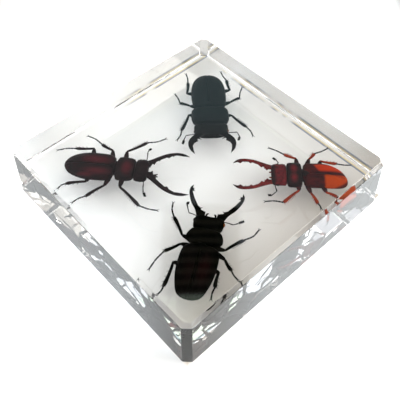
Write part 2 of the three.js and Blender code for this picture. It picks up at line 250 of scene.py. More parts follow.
# %% Colour of the sheet
# Painted shade: a warm, darker table under the block's right end, along its back and by the far left
# edge.
shades = [mapped(tree, spot_x, *SHADE_FROM)]
for (outward, along, most), out, aside in ((BACK_SHADE, spot_y, spot_x), (APEX_SHADE, minus_x, spot_y)):
    shades.append(product(tree, mapped(tree, out, *outward), mapped(tree, aside, *along), most))
shade = product(tree, under_block, chained(tree, "MAXIMUM", *shades))
colour = mixed(tree, clouds_at(tree, place, GRAIN_SCALE, GRAIN_DETAIL), *TABLE_WHITES)
colour = mixed(tree, painted_shade_left_sheet, colour, PAINTED_SHADE_LEFT_SHEET)
colour = mixed(tree, shade, colour, SHADE)
unbroken = mapped(tree, clouds_at(tree, place, FRINGE_SCALE), *FRINGE_BREAKS)
plain = 1.0
for out, along, ends in ((minus_x, spot_y, FRINGE_FROM[0]), (spot_y, spot_x, FRINGE_FROM[1])):
    fringe = product(tree, mapped(tree, out, *FRINGE[:2]), mapped(tree, out, FRINGE[3], FRINGE[2]),
                     mapped(tree, along, *ends), unbroken, under_block)
    colour = mixed(tree, fringe, colour, mixed(tree, mapped(tree, out, *FRINGE[1:3]), *FRINGE_TINTS))
    plain = product(tree, maths(tree, "SUBTRACT", 1.0, fringe), plain)
colour = mixed(tree, on_sheet, SHEET_DARK, colour)
tree.links.new(colour, table_shader.inputs["Base Color"])

# %% Glow of the table
# Painted light: the table glows around the block and under its left part, though it is no lamp.
glow = product(tree, mapped(tree, spot_x, -GLOW_REACH, GLOW_REACH, GLOW), beside_block,
               mapped(tree, maths(tree, "SUBTRACT", spot_x, spot_y), *GLOW_NEAR))
under = product(tree, mapped(tree, spot_x, *reversed(SHADE_FROM), (UNDER_RIGHT, 1.0)),
                mapped(tree, spot_y, *UNDER_SIDE, GLOW_UNDER))
glow = maths(tree, "MULTIPLY_ADD", under_block, under, glow)
tree.links.new(product(tree, glow, on_sheet, plain), table_shader.inputs["Emission Strength"])
table_shader.inputs["Emission Color"].default_value = GLOW_TINT
table.data.materials.append(table_white)
print("table nodes:", len(tree.nodes))

# %% Sky dome
DOME_RIGHT, DOME_LEFT = (0.60, 0.55, 0.48), (3.0, 3.0, 3.0)
BRIGHT_SIDE = (-0.75, -0.65, 0.0)       # the dome grows brighter toward this side
BRIGHT_EDGE = (-0.7, 0.7)               # cosines between which it does so
FADE_OUT = (1.0, 0.0)


def direction_of(around, above):
    """A direction from its angles in degrees: from +X toward +Y, and above the table."""
    around, above = math.radians(around), math.radians(above)
    return (math.cos(above) * math.cos(around), math.cos(above) * math.sin(around), math.sin(above))


world = bpy.data.worlds.new("studio")
world.use_nodes = True
bpy.context.scene.world = world
tree = world.node_tree
looking = add_node(tree, "ShaderNodeTexCoord").outputs["Generated"]
up = toward(tree, looking, (0, 0, 1))
on_left = mapped(tree, toward(tree, looking, BRIGHT_SIDE), *BRIGHT_EDGE, soft=True)
colour = mixed(tree, on_left, DOME_RIGHT, DOME_LEFT)

# %% Window and dull patch
SKY_PATCHES = [  # (degrees around and above, cosines of the soft edge, colour)
    (50, 36, (0.90, 0.95), (5.4, 5.25, 5.0)),       # the window
    (235, 57, (0.93, 0.96), (0.52, 0.52, 0.56))]    # duller, where the near right side shows the sky

for around, above, edge, tint in SKY_PATCHES:
    within = mapped(tree, toward(tree, looking, direction_of(around, above)), *edge, soft=True)
    colour = mixed(tree, within, colour, tint)

# %% Far corner and card
SKY_STRENGTH = 2.0
CORNER_AROUND = 137.4                   # degrees: the direction that the top face mirrors
CORNER_AHEAD = (0.0, 0.1)               # cosines: where corner and card fade in toward it
CORNER_EDGE = (0.30, 0.42)              # how far aside of it the corner fades out
CORNER = [(0.0, (1.5, 1.5, 1.5)), (0.60, (1.3, 1.35, 1.4)), (0.645, (0.46, 0.66, 0.71)),
          (0.70, (0.46, 0.66, 0.71)), (0.735, (0.40, 0.40, 0.41)), (0.79, (0.40, 0.40, 0.41)),
          (0.81, (1.1, 1.15, 1.25)), (0.883, (1.1, 1.15, 1.25)), (0.888, (1.04, 1.31, 1.0)),
          (1.0, (1.3, 1.4, 1.3))]       # (sine of the height, colour)
CARD_HEIGHTS = (0.800, 0.806, 0.884, 0.889)  # sines where the card fades in and out
CARD_EDGE = (0.06, 0.075)
SLAT_PITCH = 0.0092                     # in the sine of the height
SLAT_TINTS = ((0.008, 0.012, 0.006), (0.10, 0.095, 0.065))

aside = maths(tree, "ABSOLUTE", toward(tree, looking, direction_of(CORNER_AROUND - 90, 0)))
ahead = mapped(tree, toward(tree, looking, direction_of(CORNER_AROUND, 0)), *CORNER_AHEAD, soft=True)
corner_ramp = add_node(tree, "ShaderNodeValToRGB", Fac=up)
stops = corner_ramp.color_ramp.elements
stops.remove(stops[1])
for i, (sine, tint) in enumerate(CORNER):
    stop = stops[0] if i == 0 else stops.new(sine)
    stop.color = (*(part / SKY_STRENGTH for part in tint), 1)
corner_light = add_node(tree, "ShaderNodeVectorMath", {"operation": "SCALE"},
                        _0=corner_ramp.outputs["Color"], Scale=SKY_STRENGTH).outputs[0]
in_corner = product(tree, ahead, mapped(tree, aside, *CORNER_EDGE, FADE_OUT, soft=True))
colour = mixed(tree, in_corner, colour, corner_light)
slats = maths(tree, "SINE", product(tree, up, 2 * math.pi / SLAT_PITCH))
slat_light = mixed(tree, mapped(tree, slats, -1.0, 1.0, soft=True), *SLAT_TINTS)
on_card = product(tree, ahead, mapped(tree, aside, *CARD_EDGE, FADE_OUT, soft=True),
                  mapped(tree, up, *CARD_HEIGHTS[:2], soft=True),
                  mapped(tree, up, *CARD_HEIGHTS[2:], FADE_OUT, soft=True))
colour = mixed(tree, on_card, colour, slat_light)
tree.links.new(colour, tree.nodes["Background"].inputs["Color"])
bpy.context.scene.view_settings.view_transform = "Standard"
print("sky patches:", len(SKY_PATCHES), "corner stops:", len(CORNER))

# %% [markdown]
# ## The resin block
# The real block is cast in a mould that is a little wider at its open side, so each side leans
# outward toward the table. Its corners are cut and its edges bevelled, then all of it is polished.
# The solid model parts it in two, to hold the beetles in pockets. To light that parting would be a
# mirror, so one clear block without pockets stands for both halves: resin wets an insect, and there
# is no air between them. We stack four rings of eight corners: underside, lower bevel, upper bevel
# and top. The upper bevel is steep, so that it shows a strip of the beetle next to it. Then a small
# bevel softens the ridges, as polishing does.

# %% Block
CORNER_CUT = 2.6 * MM
BEVEL_IN, BEVEL_DOWN = 1.3 * MM, 1.8 * MM   # the top edge's steep bevel
LOW_BEVEL = 0.8 * MM
DRAFT = 1.5 * MM
TOP_HALF = 55 * MM
RIDGE_ROUNDING, RIDGE_STEPS = 0.28 * MM, 4
RIDGE_ANGLE = 20   # degrees: sharper edges than this are rounded
BLOCK_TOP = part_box("resin_upper_half")[1][2]


def block_ring(height, inset):
    """Eight corners of the block at one height, counter-clockwise from above."""
    half = TOP_HALF - inset
    cut = half - CORNER_CUT + inset * (2 - math.sqrt(2))
    lean = 1 + DRAFT / TOP_HALF * (1 - height / BLOCK_TOP)
    corners = [(half, cut), (cut, half), (-cut, half), (-half, cut),
               (-half, -cut), (-cut, -half), (cut, -half), (half, -cut)]
    return [(x * lean, y * lean, height) for x, y in corners]


def resin_block():
    rings = [block_ring(0, LOW_BEVEL), block_ring(LOW_BEVEL, 0),
             block_ring(BLOCK_TOP - BEVEL_DOWN, 0), block_ring(BLOCK_TOP, BEVEL_IN)]
    points = [corner for ring in rings for corner in ring]
    count = len(rings[0])
    ends = [list(reversed(range(count))), list(range(len(points) - count, len(points)))]
    block = mesh_piece("resin_block", points, ends + walls(len(rings), count), smooth=False)
    rounding = block.modifiers.new("polished_ridges", "BEVEL")
    rounding.width = RIDGE_ROUNDING
    rounding.segments = RIDGE_STEPS
    rounding.limit_method = "ANGLE"
    rounding.angle_limit = math.radians(RIDGE_ANGLE)
    rounding.harden_normals = False
    return block


block = resin_block()
print("block size in mm:", [round(v / MM, 1) for v in block.dimensions])

# %% [markdown]
# ## Clear resin
# The shader bends light by transmission, with an index of 1.5, and a faint absorption greys the long
# ways through the block. Hand polishing leaves shallow waves in the faces, which a very weak, wide
# bump gives.

# %% Resin material
RESIN_INDEX = 1.5
WAVE_SCALE = 55.0
WAVE_RELIEF = dict(Strength=0.02, Distance=0.6 * MM)
RESIN_TINT, RESIN_DENSITY = (0.86, 0.85, 0.81, 1), 2.0

resin, resin_shader = new_material("clear_resin", Base_Color=(1, 1, 1, 1), Roughness=0.0,
                                   IOR=RESIN_INDEX, Transmission_Weight=1.0)
tree = resin.node_tree
place = add_node(tree, "ShaderNodeTexCoord").outputs["Object"]
polish = add_node(tree, "ShaderNodeBump", Height=clouds_at(tree, place, WAVE_SCALE, 1.0), **WAVE_RELIEF)
tree.links.new(polish.outputs[0], resin_shader.inputs["Normal"])
absorb = add_node(tree, "ShaderNodeVolumeAbsorption", Color=RESIN_TINT, Density=RESIN_DENSITY)
tree.links.new(absorb.outputs[0], tree.nodes["Material Output"].inputs["Volume"])
block.data.materials.append(resin)
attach(block, "root")
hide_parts("resin_lower_half", "resin_upper_half")

# %% [markdown]
# Light that enters a side face bounces to and fro between top and underside before it leaves. Each
# of these mirrorings counts as a glossy bounce, so the few that are allowed at first would turn the
# side faces dark grey.

# %% Light paths
paths = bpy.context.scene.cycles
paths.max_bounces = 32
paths.glossy_bounces = 24
paths.transmission_bounces = 24
print("bounces:", paths.max_bounces, paths.glossy_bounces, paths.transmission_bounces)

# %% [markdown]
# ## The four beetles' plans
# Each beetle is drawn in its own frame, in millimetres: +X runs from the tip of the abdomen to the
# jaws, +Y is its left side and +Z its back. `body` is [station, half width] along the trunk, with
# the waist and the neck as narrow stations. `outer` and `inner` draw the left jaw from its root to
# its tip and back, and `right_jaw` shifts, turns and stretches its mirror image, because a set
# specimen's jaws seldom lie alike: forward and inward in mm, degrees, length. A leg runs from the
# flank over the knee and the ankle to the claw, and a feeler from its socket over the elbow and the
# start of the club to its end. `bows` bends each foot, in mm.

# %% Plan of the broad black beetle
BLACK_BROAD = dict(
    node="beetle_black_broad", slot="black_shell", place=(-38.2, 41.3), heading=-39.9,
    waist=22.4, neck=32.5, sway=0, eye=(36.4, 7.0),
    body=[(0.5, 0), (0.8, 2.4), (2, 4.6), (4.7, 6.5), (8.5, 7.6), (13, 8), (18, 7.8), (21.5, 7.1),
          (22.4, 6.3), (23.1, 7.6), (24.8, 8.3), (29.3, 8.4), (31.8, 7.6), (32.5, 6.8),
          (33.3, 7.4), (36, 7.5), (38.3, 7), (39.5, 5.3), (38.5, 2.6), (38.1, 0)],
    outer=[(37, 6.4), (39, 8.3), (41.4, 10), (44.2, 10.4), (47, 9.6), (49.4, 7.7)],
    inner=[(47, 8.2), (44.6, 8.4), (43.2, 7.7), (41.9, 6), (41, 6.4), (39, 4.2), (37, 4.2)],
    teeth=[((42.4, 7.4), (42.1, 6.1)), ((40.4, 5.8), (41.2, 4.4))],
    right_jaw=(0, 0, 0, 1), bows=(0.5, 0.3, 0.3, -0.5, 0.3, 0.3), palps=[],
    feelers=[[(37.6, 6.4), (37.5, 11.3), (40.3, 12.2), (42.6, 11.6)],
             [(37.6, -6.4), (38.5, -11.2), (41, -12.2), (43.6, -13)]],
    legs=[[(26.7, 8.3), (27.1, 9.7), (34.2, 15.6), (40.2, 18.3)],
          [(20.1, 7.4), (18.7, 10), (16, 14.2), (8.4, 16.2)],
          [(11.5, 7.8), (10.8, 10.2), (3.9, 9.1), (-2.8, 6.6)],
          [(26.8, -8.3), (25.9, -9.5), (35, -13), (41.1, -15.3)],
          [(21, -7.2), (20.3, -9), (18.1, -13.3), (11.4, -15.7)],
          [(12.4, -8), (12.2, -10), (4.9, -9.2), (-2.1, -10)]])

# %% Plan of the red-brown beetle
RED_BROWN = dict(
    node="beetle_red_brown", slot="red_brown_shell", place=(-38.5, -40.2), heading=40.7,
    waist=21.6, neck=29.9, sway=0, eye=(33, 5.2),
    body=[(0, 0), (0.4, 1.8), (2.2, 4.2), (5.2, 5.9), (9.5, 7), (15, 7.1), (19, 6.7), (21, 5.3),
          (21.6, 3.7), (22.1, 4.6), (22.8, 5.8), (24.6, 6.1), (28, 5.9), (29.4, 5.3), (29.9, 4.6),
          (30.4, 5.4), (32, 5.8), (34.4, 5.6), (35.4, 4.6), (35.2, 2), (35, 0)],
    outer=[(33.6, 5), (36.2, 6.4), (38.6, 8), (42.3, 10.1), (46.4, 11.2), (49.5, 10.9), (52, 9.7)],
    inner=[(49.4, 9.7), (46.3, 9.9), (44.2, 9.1), (43.2, 7.9), (42.4, 8.3), (40, 6.7), (38.2, 5.4),
           (37.6, 3.6), (36.8, 4.2), (36, 1.8), (35.2, 2.6), (33.6, 2.6)],
    teeth=[((45, 9.6), (44.9, 8.8)), ((39.4, 6.6), (39.6, 5.6))],
    right_jaw=(0.9, 2.2, -6.0, 1.1), bows=(-0.7, -0.6, -0.5, 0.4, 0.5, 0.5),
    palps=[[(34.6, -0.8), (36.8, -1.4), (38.6, -1.5), (39.8, -0.9)],
           [(34.6, -2.6), (36.8, -2), (38.6, -1.9), (40, -2.5)]],
    feelers=[[(34, 5.2), (33.7, 10), (34, 11.4), (34.7, 12.6)],
             [(34.4, -5.2), (34.9, -8.6), (35.4, -11), (36.6, -13.5)]],
    legs=[[(25, 6), (24.8, 9.7), (32.5, 15.9), (40.8, 19.4)],
          [(19.5, 6.8), (18.6, 9.6), (13.3, 12.5), (5.5, 17.1)],
          [(11.1, 7), (10.4, 9.7), (2.7, 9), (-5.7, 7)],
          [(25.5, -6), (25.4, -9.5), (34.7, -17.6), (43.2, -19.2)],
          [(20.2, -6.2), (19, -9.5), (12.7, -15.4), (7.5, -19.7)],
          [(11.6, -7), (11.1, -8.4), (3, -10.2), (0.2, -13.3)]])

# %% Plan of the orange beetle
ORANGE = dict(
    node="beetle_orange", slot="orange_shell", place=(46.6, 42.1), heading=-134.5,
    waist=18.7, neck=25.4, sway=3.1, eye=(29.2, 5),
    body=[(0.4, 0), (0.7, 1.8), (2.2, 4), (5, 5.5), (9, 6.3), (14, 6.4), (17, 6.1), (18.3, 4.9),
          (18.7, 3.3), (19.1, 5.2), (19.9, 6.2), (23, 6.4), (24.9, 6), (25.4, 4.9),
          (25.9, 5.5), (28, 5.6), (30.6, 5.4), (31.6, 4.4), (31.2, 2), (31, 0)],
    outer=[(30, 4.8), (32.4, 5.2), (35.2, 6.2), (39, 7.6), (43.2, 8.1), (45.7, 7.5), (47.7, 5.6)],
    inner=[(45.5, 6.3), (44.5, 5.6), (43.4, 6.6), (41, 6.5), (40.2, 5.6), (39.4, 6.2), (37, 5.1),
           (35.8, 3.6), (34.9, 4.1), (33.5, 2.1), (32.6, 2.8), (30, 2.4)],
    teeth=[((45.6, 6.9), (45.9, 6.1)), ((42.5, 7.4), (42.5, 6.1)), ((41.6, 7.3), (41.3, 6.2)),
           ((37.9, 6.2), (38.2, 5.3)), ((34.1, 3.6), (34.6, 2.9))],
    right_jaw=(0, 0, 0, 1), bows=(-0.5, 0.3, 0.3, 0.3, 0.3, 0.3), palps=[],
    feelers=[[(30.4, 4.8), (29.7, 8.6), (31.9, 10.8), (33.5, 10.9)],
             [(28.6, -5), (28.5, -6.7), (29.4, -8), (30.7, -9.3)]],
    legs=[[(20.6, 6.2), (20.7, 8), (27.2, 13.9), (35.3, 13.6)],
          [(17.2, 6.2), (16, 9.2), (13.6, 14), (12.4, 16.7)],
          [(10.8, 6.6), (9.7, 8.7), (5.6, 10.5), (3.4, 12)],
          [(20.5, -6.2), (20.9, -9.1), (25.7, -11.3), (32.5, -15.2)],
          [(17, -6.2), (15.4, -9), (12.9, -12.2), (6.3, -15.7)],
          [(11.4, -6.4), (10.8, -8), (4.1, -6.9), (-2.2, -6.3)]])

# %% Plan of the long-jawed black beetle
BLACK_LONG_JAWED = dict(
    node="beetle_black_long_jawed", slot="black_red_shell", place=(43.35, -44.35), heading=123.6,
    waist=23.2, neck=30.4, sway=0, eye=(34.2, 5.6),
    body=[(0, 0), (0.3, 2.2), (1.8, 4.6), (5.5, 6.2), (11, 7.4), (16.5, 7.6), (21, 7.1), (22.6, 5.8),
          (23.2, 4.6), (23.8, 5.9), (25.2, 7.2), (27.5, 7.2), (29.8, 6), (30.4, 5.3),
          (31, 5.7), (33.5, 6.1), (35.8, 5.7), (36.5, 4.2), (35.2, 1.8), (34.7, 0)],
    outer=[(35.2, 5.4), (38.6, 6.7), (42, 9.2), (46.2, 11), (49.2, 11.3), (51.1, 10.2)],
    inner=[(49.4, 10.3), (48.4, 9.5), (47.6, 10), (44.4, 8.4), (40.8, 5.9), (40.2, 4.7),
           (39.4, 4.6), (38.6, 2.5), (37.4, 2.4), (35.2, 2.4)],
    teeth=[((48.8, 10.6), (49.1, 9.3)), ((48, 10.4), (47.8, 9)), ((39.8, 5.2), (40.5, 4.1)),
           ((37.8, 3.2), (38.9, 2.6))],
    right_jaw=(0, 0, 0, 1), bows=(0.6, -0.4, 0.3, 0.9, 0.3, 0.3),
    palps=[[(35.6, 1.5), (36.8, 1.9), (38, 1.7), (38.5, 1.1)],
           [(35.6, -1.5), (36.8, -1.9), (38, -1.7), (38.5, -1.1)]],
    feelers=[[(36, 5.2), (36.8, 8.8), (40.5, 10.5), (42, 10.5)],
             [(35.6, -5.2), (35.3, -9.3), (36.4, -11.2), (38, -13.5)]],
    legs=[[(25.2, 6.6), (26.1, 8.8), (33.6, 14), (40.9, 16.5)],
          [(22.5, 6), (22.2, 8.4), (17.8, 13.5), (8, 17.2)],
          [(13.5, 7.4), (14, 8.9), (3.4, 9.7), (-0.4, 10.9)],
          [(23.6, -6), (23.3, -8.9), (29.6, -14.7), (36.3, -20.1)],
          [(22.4, -6.5), (19.3, -9.7), (15.6, -12.8), (12.1, -16.2)],
          [(13.9, -7.4), (13.7, -8.6), (7.4, -8.5), (2, -8.2)]])

# %% From a beetle's frame into the block
BEETLES = [BLACK_BROAD, RED_BROWN, ORANGE, BLACK_LONG_JAWED]
MID_HEIGHT = 13.5  # mm: the beetles' mid-plane, where the solid model parts the resin
SWAY_REACH = 12    # mm of the abdomen that a beetle's `sway` bends sideways
PLAN_SPAN = 60     # mm across the flat map that the patterns are drawn on


def turned(beetle, vector):
    """A direction of a beetle's own frame, turned as the beetle lies in the block."""
    return Matrix.Rotation(math.radians(beetle["heading"]), 3, "Z") @ Vector(vector)


def placed(beetle, point):
    """A point of a beetle's own frame, in mm, carried into the block, in metres."""
    return (turned(beetle, point) + Vector((*beetle["place"], MID_HEIGHT))) * MM


def beetle_piece(beetle, part, points, faces, finish):
    """A named part of a beetle from points in its own frame, with a flat map seen from above."""
    piece = mesh_piece(f"{beetle['node']}_{part}", [placed(beetle, p) for p in points], faces)
    plan = piece.data.uv_layers.new(name="plan")
    for loop in piece.data.loops:
        x, y, _ = points[loop.vertex_index]
        plan.data[loop.index].uv = (x / PLAN_SPAN, 0.5 + y / PLAN_SPAN)
    piece.data.materials.append(FINISHES[beetle["node"]][finish])
    return piece


print("beetles:", [beetle["node"] for beetle in BEETLES])

# %% [markdown]
# ## Shell finishes
# A beetle's shell is chitin: hard, finely pitted and a little glossy, with the gloss much weaker in
# resin than in air, because resin bends light nearly as chitin does. So the specular level is low.
# Colour drifts over the shell in soft clouds, and pits a quarter of a millimetre wide cover it. On
# the wing cases, faint lines run lengthwise, drawn in the flat map.

# %% Shell material
CHITIN_INDEX = 1.5
CLOUD_SPREAD = (0.38, 0.64)    # of the noise: all deep colour up to one, all light from the other
CLOUD_DETAIL, CLOUD_ROUGHNESS = 4.0, 0.55
ROUGH_DRIFT = (-0.1, 0.12)     # the clouds change the roughness by as much
PIT_SCALE, PIT_EDGE = 3600.0, 0.35
PIT_RELIEF = dict(Strength=0.35, Distance=0.05 * MM)
LINE_SCALE, LINE_WOBBLE = 22.0, 0.4
LINE_RELIEF = dict(Strength=0.25, Distance=0.08 * MM)


def shell_material(name, deep, light, clouds=350.0, rough=0.38, zone=None, lined=False, gloss=0.05):
    """Chitin between two colours. `zone` adds a colour rule in the beetle's flat map."""
    material, shader = new_material(name, Specular_IOR_Level=gloss, IOR=CHITIN_INDEX)
    tree = material.node_tree
    place = add_node(tree, "ShaderNodeTexCoord")
    at, plan = place.outputs["Object"], place.outputs["UV"]
    cloud = clouds_at(tree, at, clouds, CLOUD_DETAIL, Roughness=CLOUD_ROUGHNESS)
    colour = mixed(tree, mapped(tree, cloud, *CLOUD_SPREAD), deep, light)
    if zone:
        colour = zone(tree, place, colour)
    tree.links.new(colour, shader.inputs["Base Color"])
    roughness = mapped(tree, cloud, 0.0, 1.0, [rough + drift for drift in ROUGH_DRIFT])
    tree.links.new(roughness, shader.inputs["Roughness"])
    pits = add_node(tree, "ShaderNodeTexVoronoi", Vector=at, Scale=PIT_SCALE).outputs["Distance"]
    relief = add_node(tree, "ShaderNodeBump", Height=mapped(tree, pits, 0.0, PIT_EDGE), **PIT_RELIEF)
    if lined:
        stripes = add_node(tree, "ShaderNodeTexWave", {"bands_direction": "Y"}, Vector=plan,
                           Scale=LINE_SCALE, Distortion=LINE_WOBBLE)
        relief = add_node(tree, "ShaderNodeBump", Height=stripes.outputs["Fac"],
                          Normal=relief.outputs[0], **LINE_RELIEF)
    tree.links.new(relief.outputs[0], shader.inputs["Normal"])
    return material


# %% Colour rules in the flat map
def blob(tree, place, x, y, reach_x, reach_y, soft=1.0):
    """One inside an oval of the flat map, fading to nothing at its edge."""
    centre = (x / PLAN_SPAN, 0.5 + y / PLAN_SPAN, 0)
    apart = vector_maths(tree, "SUBTRACT", place.outputs["UV"], centre)
    scaled = vector_maths(tree, "MULTIPLY", apart, (PLAN_SPAN / reach_x, PLAN_SPAN / reach_y, 0))
    length = add_node(tree, "ShaderNodeVectorMath", {"operation": "LENGTH"}, _0=scaled)
    return mapped(tree, length.outputs["Value"], 1.0, max(0.0, 1.0 - soft), soft=True)


def tinted(tree, colour, amount, tint, most=1.0):
    """A colour mixed toward a tint by a mask."""
    return mixed(tree, product(tree, amount, most), colour, tint)


def with_blobs(blobs, tint):
    """A colour rule that lays ovals of a tint on the shell: (x, y, reach in x and in y, share)."""
    def zone(tree, place, colour):
        for *oval, most in blobs:
            colour = tinted(tree, colour, blob(tree, place, *oval), tint, most)
        return colour
    return zone


def dark_ahead(start, end, tint=(0.006, 0.003, 0.003), most=0.9):
    """A colour rule that darkens a part toward its front, between two stations."""
    def zone(tree, place, colour):
        flat = add_node(tree, "ShaderNodeSeparateXYZ", Vector=place.outputs["UV"])
        share = mapped(tree, flat.outputs["X"], start / PLAN_SPAN, end / PLAN_SPAN, soft=True)
        return tinted(tree, colour, share, tint, most)
    return zone


# %% Wing cases of the orange beetle
ORANGE_FIELDS = [  # (side, station of its front border, slant, width of the dark seam, colour)
    (-1, 11.6, 0.5, 2.1, (0.38, 0.024, 0.0008)),
    (1, 9.9, 0.0, 1.5, (0.36, 0.038, 0.0008))]
FIELD_EDGE = (0.9, -0.1)       # mm ahead of the border, between which the orange sets in
SEAM_CORE = 0.25               # mm from the seam, up to where it is fully dark
WOBBLE_SCALE, WOBBLE = 900.0, 0.8   # the border wavers by as many mm
RIM_OVAL = (9.8, 0.9, 10.4, 6.5)    # the rim is dark outside this oval of the flat map
RIM_SOFT, RIM_TINT, RIM_MOST = 0.13, (0.03, 0.003, 0.002), 0.9


def orange_case_zones(tree, place, colour):
    """Wing cases: a dark red base, orange behind it, and a dark seam and rim around the orange."""
    flat = add_node(tree, "ShaderNodeSeparateXYZ", Vector=place.outputs["UV"])
    wobble = clouds_at(tree, place.outputs["Object"], WOBBLE_SCALE)
    for side, border, slant, seam, tint in ORANGE_FIELDS:
        off_seam = maths(tree, "MULTIPLY_ADD", flat.outputs["Y"], side, side * -0.5)
        ahead = maths(tree, "MULTIPLY_ADD", off_seam, -slant, flat.outputs["X"])
        ahead = maths(tree, "MULTIPLY_ADD", wobble, WOBBLE / PLAN_SPAN, ahead)
        behind = mapped(tree, ahead, *[(border + edge) / PLAN_SPAN for edge in FIELD_EDGE])
        clear = mapped(tree, off_seam, SEAM_CORE / PLAN_SPAN, seam / PLAN_SPAN, soft=True)
        colour = tinted(tree, colour, product(tree, behind, clear), tint)
    rim = maths(tree, "SUBTRACT", 1.0, blob(tree, place, *RIM_OVAL, RIM_SOFT))
    return tinted(tree, colour, rim, RIM_TINT, RIM_MOST)


# %% Shells
# Painted highlights: lighter red on the crowns of the red-brown beetle's wing cases and pronotum, over
# its own red-brown.
RED_BROWN_PAINTED_HIGHLIGHTS = with_blobs([(13.5, 2.6, 9.5, 3.4, 1.0), (14.5, -3.4, 8, 2.6, 0.8),
                              (26.5, 0, 3.4, 5.2, 1.0), (10, -5.4, 5, 1.4, 0.8)], (0.062, 0.005, 0.009))
# Painted sheen: faint red on the long-jawed beetle's wing cases, full on its right side and weak on its
# left.
PAINTED_RED_SHEEN_LONG_JAWED = with_blobs([(12.5, -3.2, 8.5, 3.6, 1.0), (10.5, 2.4, 8.5, 3.6, 0.35)], (0.0065, 0.0005, 0.0007))
RED_FIELD = with_blobs([(22.4, y, 2.3, 3.4, 1.0) for y in (2.4, -2.4)], (0.11, 0.005, 0.008))
BLACKS = (0.0022, 0.0026, 0.003), (0.0045, 0.005, 0.0055)

BLACK = shell_material("black_chitin", *BLACKS)
BLACK_LINED = shell_material("black_wing_cases", *BLACKS, lined=True)
RED_DARK = shell_material("red_brown_chitin", (0.004, 0.0022, 0.0025), (0.011, 0.003, 0.004),
                          zone=RED_BROWN_PAINTED_HIGHLIGHTS)
RED_LINED = shell_material("red_brown_wing_cases", (0.004, 0.002, 0.0025), (0.013, 0.0025, 0.004),
                           zone=RED_BROWN_PAINTED_HIGHLIGHTS, lined=True)
LONG_DARK = shell_material("black_red_chitin", (0.0004, 0.0005, 0.0004), (0.0012, 0.0013, 0.0011),
                           gloss=0.012)
LONG_LINED = shell_material("black_wing_cases_painted_red_sheen", (0.0005, 0.0004, 0.0004), (0.0014, 0.0009, 0.0009),
                            zone=PAINTED_RED_SHEEN_LONG_JAWED, lined=True, gloss=0.012)
RUST_HEAD = shell_material("rust_red_head_chitin", (0.055, 0.004, 0.006), (0.125, 0.007, 0.010),
                           clouds=700.0, zone=dark_ahead(29.4, 30.6))
RUST_JAW = shell_material("rust_red_jaw_chitin", (0.075, 0.005, 0.005), (0.16, 0.010, 0.008),
                          zone=dark_ahead(43.2, 46.2))
RUST_PLATE = shell_material("rust_pronotum_chitin", (0.004, 0.002, 0.002), (0.012, 0.003, 0.003),
                            zone=RED_FIELD)
RUST_DARK = shell_material("dark_rust_chitin", (0.012, 0.003, 0.003), (0.045, 0.006, 0.007))
ORANGE_CASE = shell_material("orange_wing_cases", (0.020, 0.0015, 0.002), (0.052, 0.003, 0.003),
                             zone=orange_case_zones, lined=True, gloss=0.02)
ORANGE_LIMB = shell_material("orange_limbs", (0.16, 0.016, 0.006), (0.30, 0.035, 0.008))
# Painted light: on the broad black and the long-jawed beetle the eye on the side toward the window is
# amber, the other dark.
PAINTED_LIT_EYE = shell_material("amber_painted_lit_eye", (0.16, 0.045, 0.008), (0.34, 0.10, 0.02), rough=0.2)
DARK_EYE = shell_material("dark_eyes", (0.004, 0.003, 0.003), (0.01, 0.006, 0.005), rough=0.2)
BRISTLE = shell_material("bristles", (0.02, 0.009, 0.004), (0.05, 0.022, 0.008))

# %% Which shell goes where
SHELL_PARTS = ("cases", "pronotum", "head", "jaws", "thighs", "shins", "feet", "left_eye", "right_eye",
               "bristles")
FINISHES = {node: dict(zip(SHELL_PARTS, shells + [BRISTLE])) for node, shells in {
    "beetle_black_broad": [BLACK_LINED] + [BLACK] * 6 + [PAINTED_LIT_EYE, DARK_EYE],
    "beetle_red_brown": [RED_LINED] + [RED_DARK] * 5 + [BLACK, DARK_EYE, DARK_EYE],
    "beetle_orange": [ORANGE_CASE, RUST_PLATE, RUST_HEAD, RUST_JAW, RUST_DARK, ORANGE_LIMB, BLACK,
                      DARK_EYE, DARK_EYE],
    "beetle_black_long_jawed": [LONG_LINED] + [LONG_DARK] * 6 + [DARK_EYE, PAINTED_LIT_EYE]}.items()}
print("finishes:", len({shell.name for finish in FINISHES.values() for shell in finish.values()}))

# %% [markdown]
# ## Smooth outlines
# A plan has few points. A smooth curve through them gives as many stations as a rounded form needs.
# At each point the curve runs parallel to the line between its neighbours.

# %% Curve through points
def smooth(points, steps, before=None, after=None):
    """A smooth line through points, with a number of steps between each two of them."""
    points = [Vector(p) for p in points]
    first = Vector(before) if before else 2 * points[0] - points[1]
    last = Vector(after) if after else 2 * points[-1] - points[-2]
    chain = [first, *points, last]
    line = []
    for p0, p1, p2, p3 in zip(chain, chain[1:], chain[2:], chain[3:]):
        span = (p2 - p1).length
        leave = (p2 - p0).normalized() * span
        reach = (p3 - p1).normalized() * span
        for k in range(steps):
            t = k / steps
            line.append((2 * t**3 - 3 * t**2 + 1) * p1 + (t**3 - 2 * t**2 + t) * leave
                        + (3 * t**2 - 2 * t**3) * p2 + (t**3 - t**2) * reach)
    return [*line, points[-1]]


def blend(t):
    """A soft step from 0 to 1."""
    t = min(1.0, max(0.0, t))
    return t * t * (3 - 2 * t)


# %% Loft
def loft(rings):
    """Points and faces of a closed body over rings of equal count, its ends closed by a point."""
    count = len(rings[0])
    points = [tuple(p) for ring in rings for p in ring]
    faces = walls(len(rings), count)
    for ring, start, flip in ((rings[0], 0, True), (rings[-1], len(points) - count, False)):
        centre = len(points)
        points.append(tuple(sum((Vector(p) for p in ring), Vector((0, 0, 0))) / count))
        for i in range(count):
            a, b = start + i, start + (i + 1) % count
            faces.append([b, a, centre] if flip else [a, b, centre])
    return points, faces


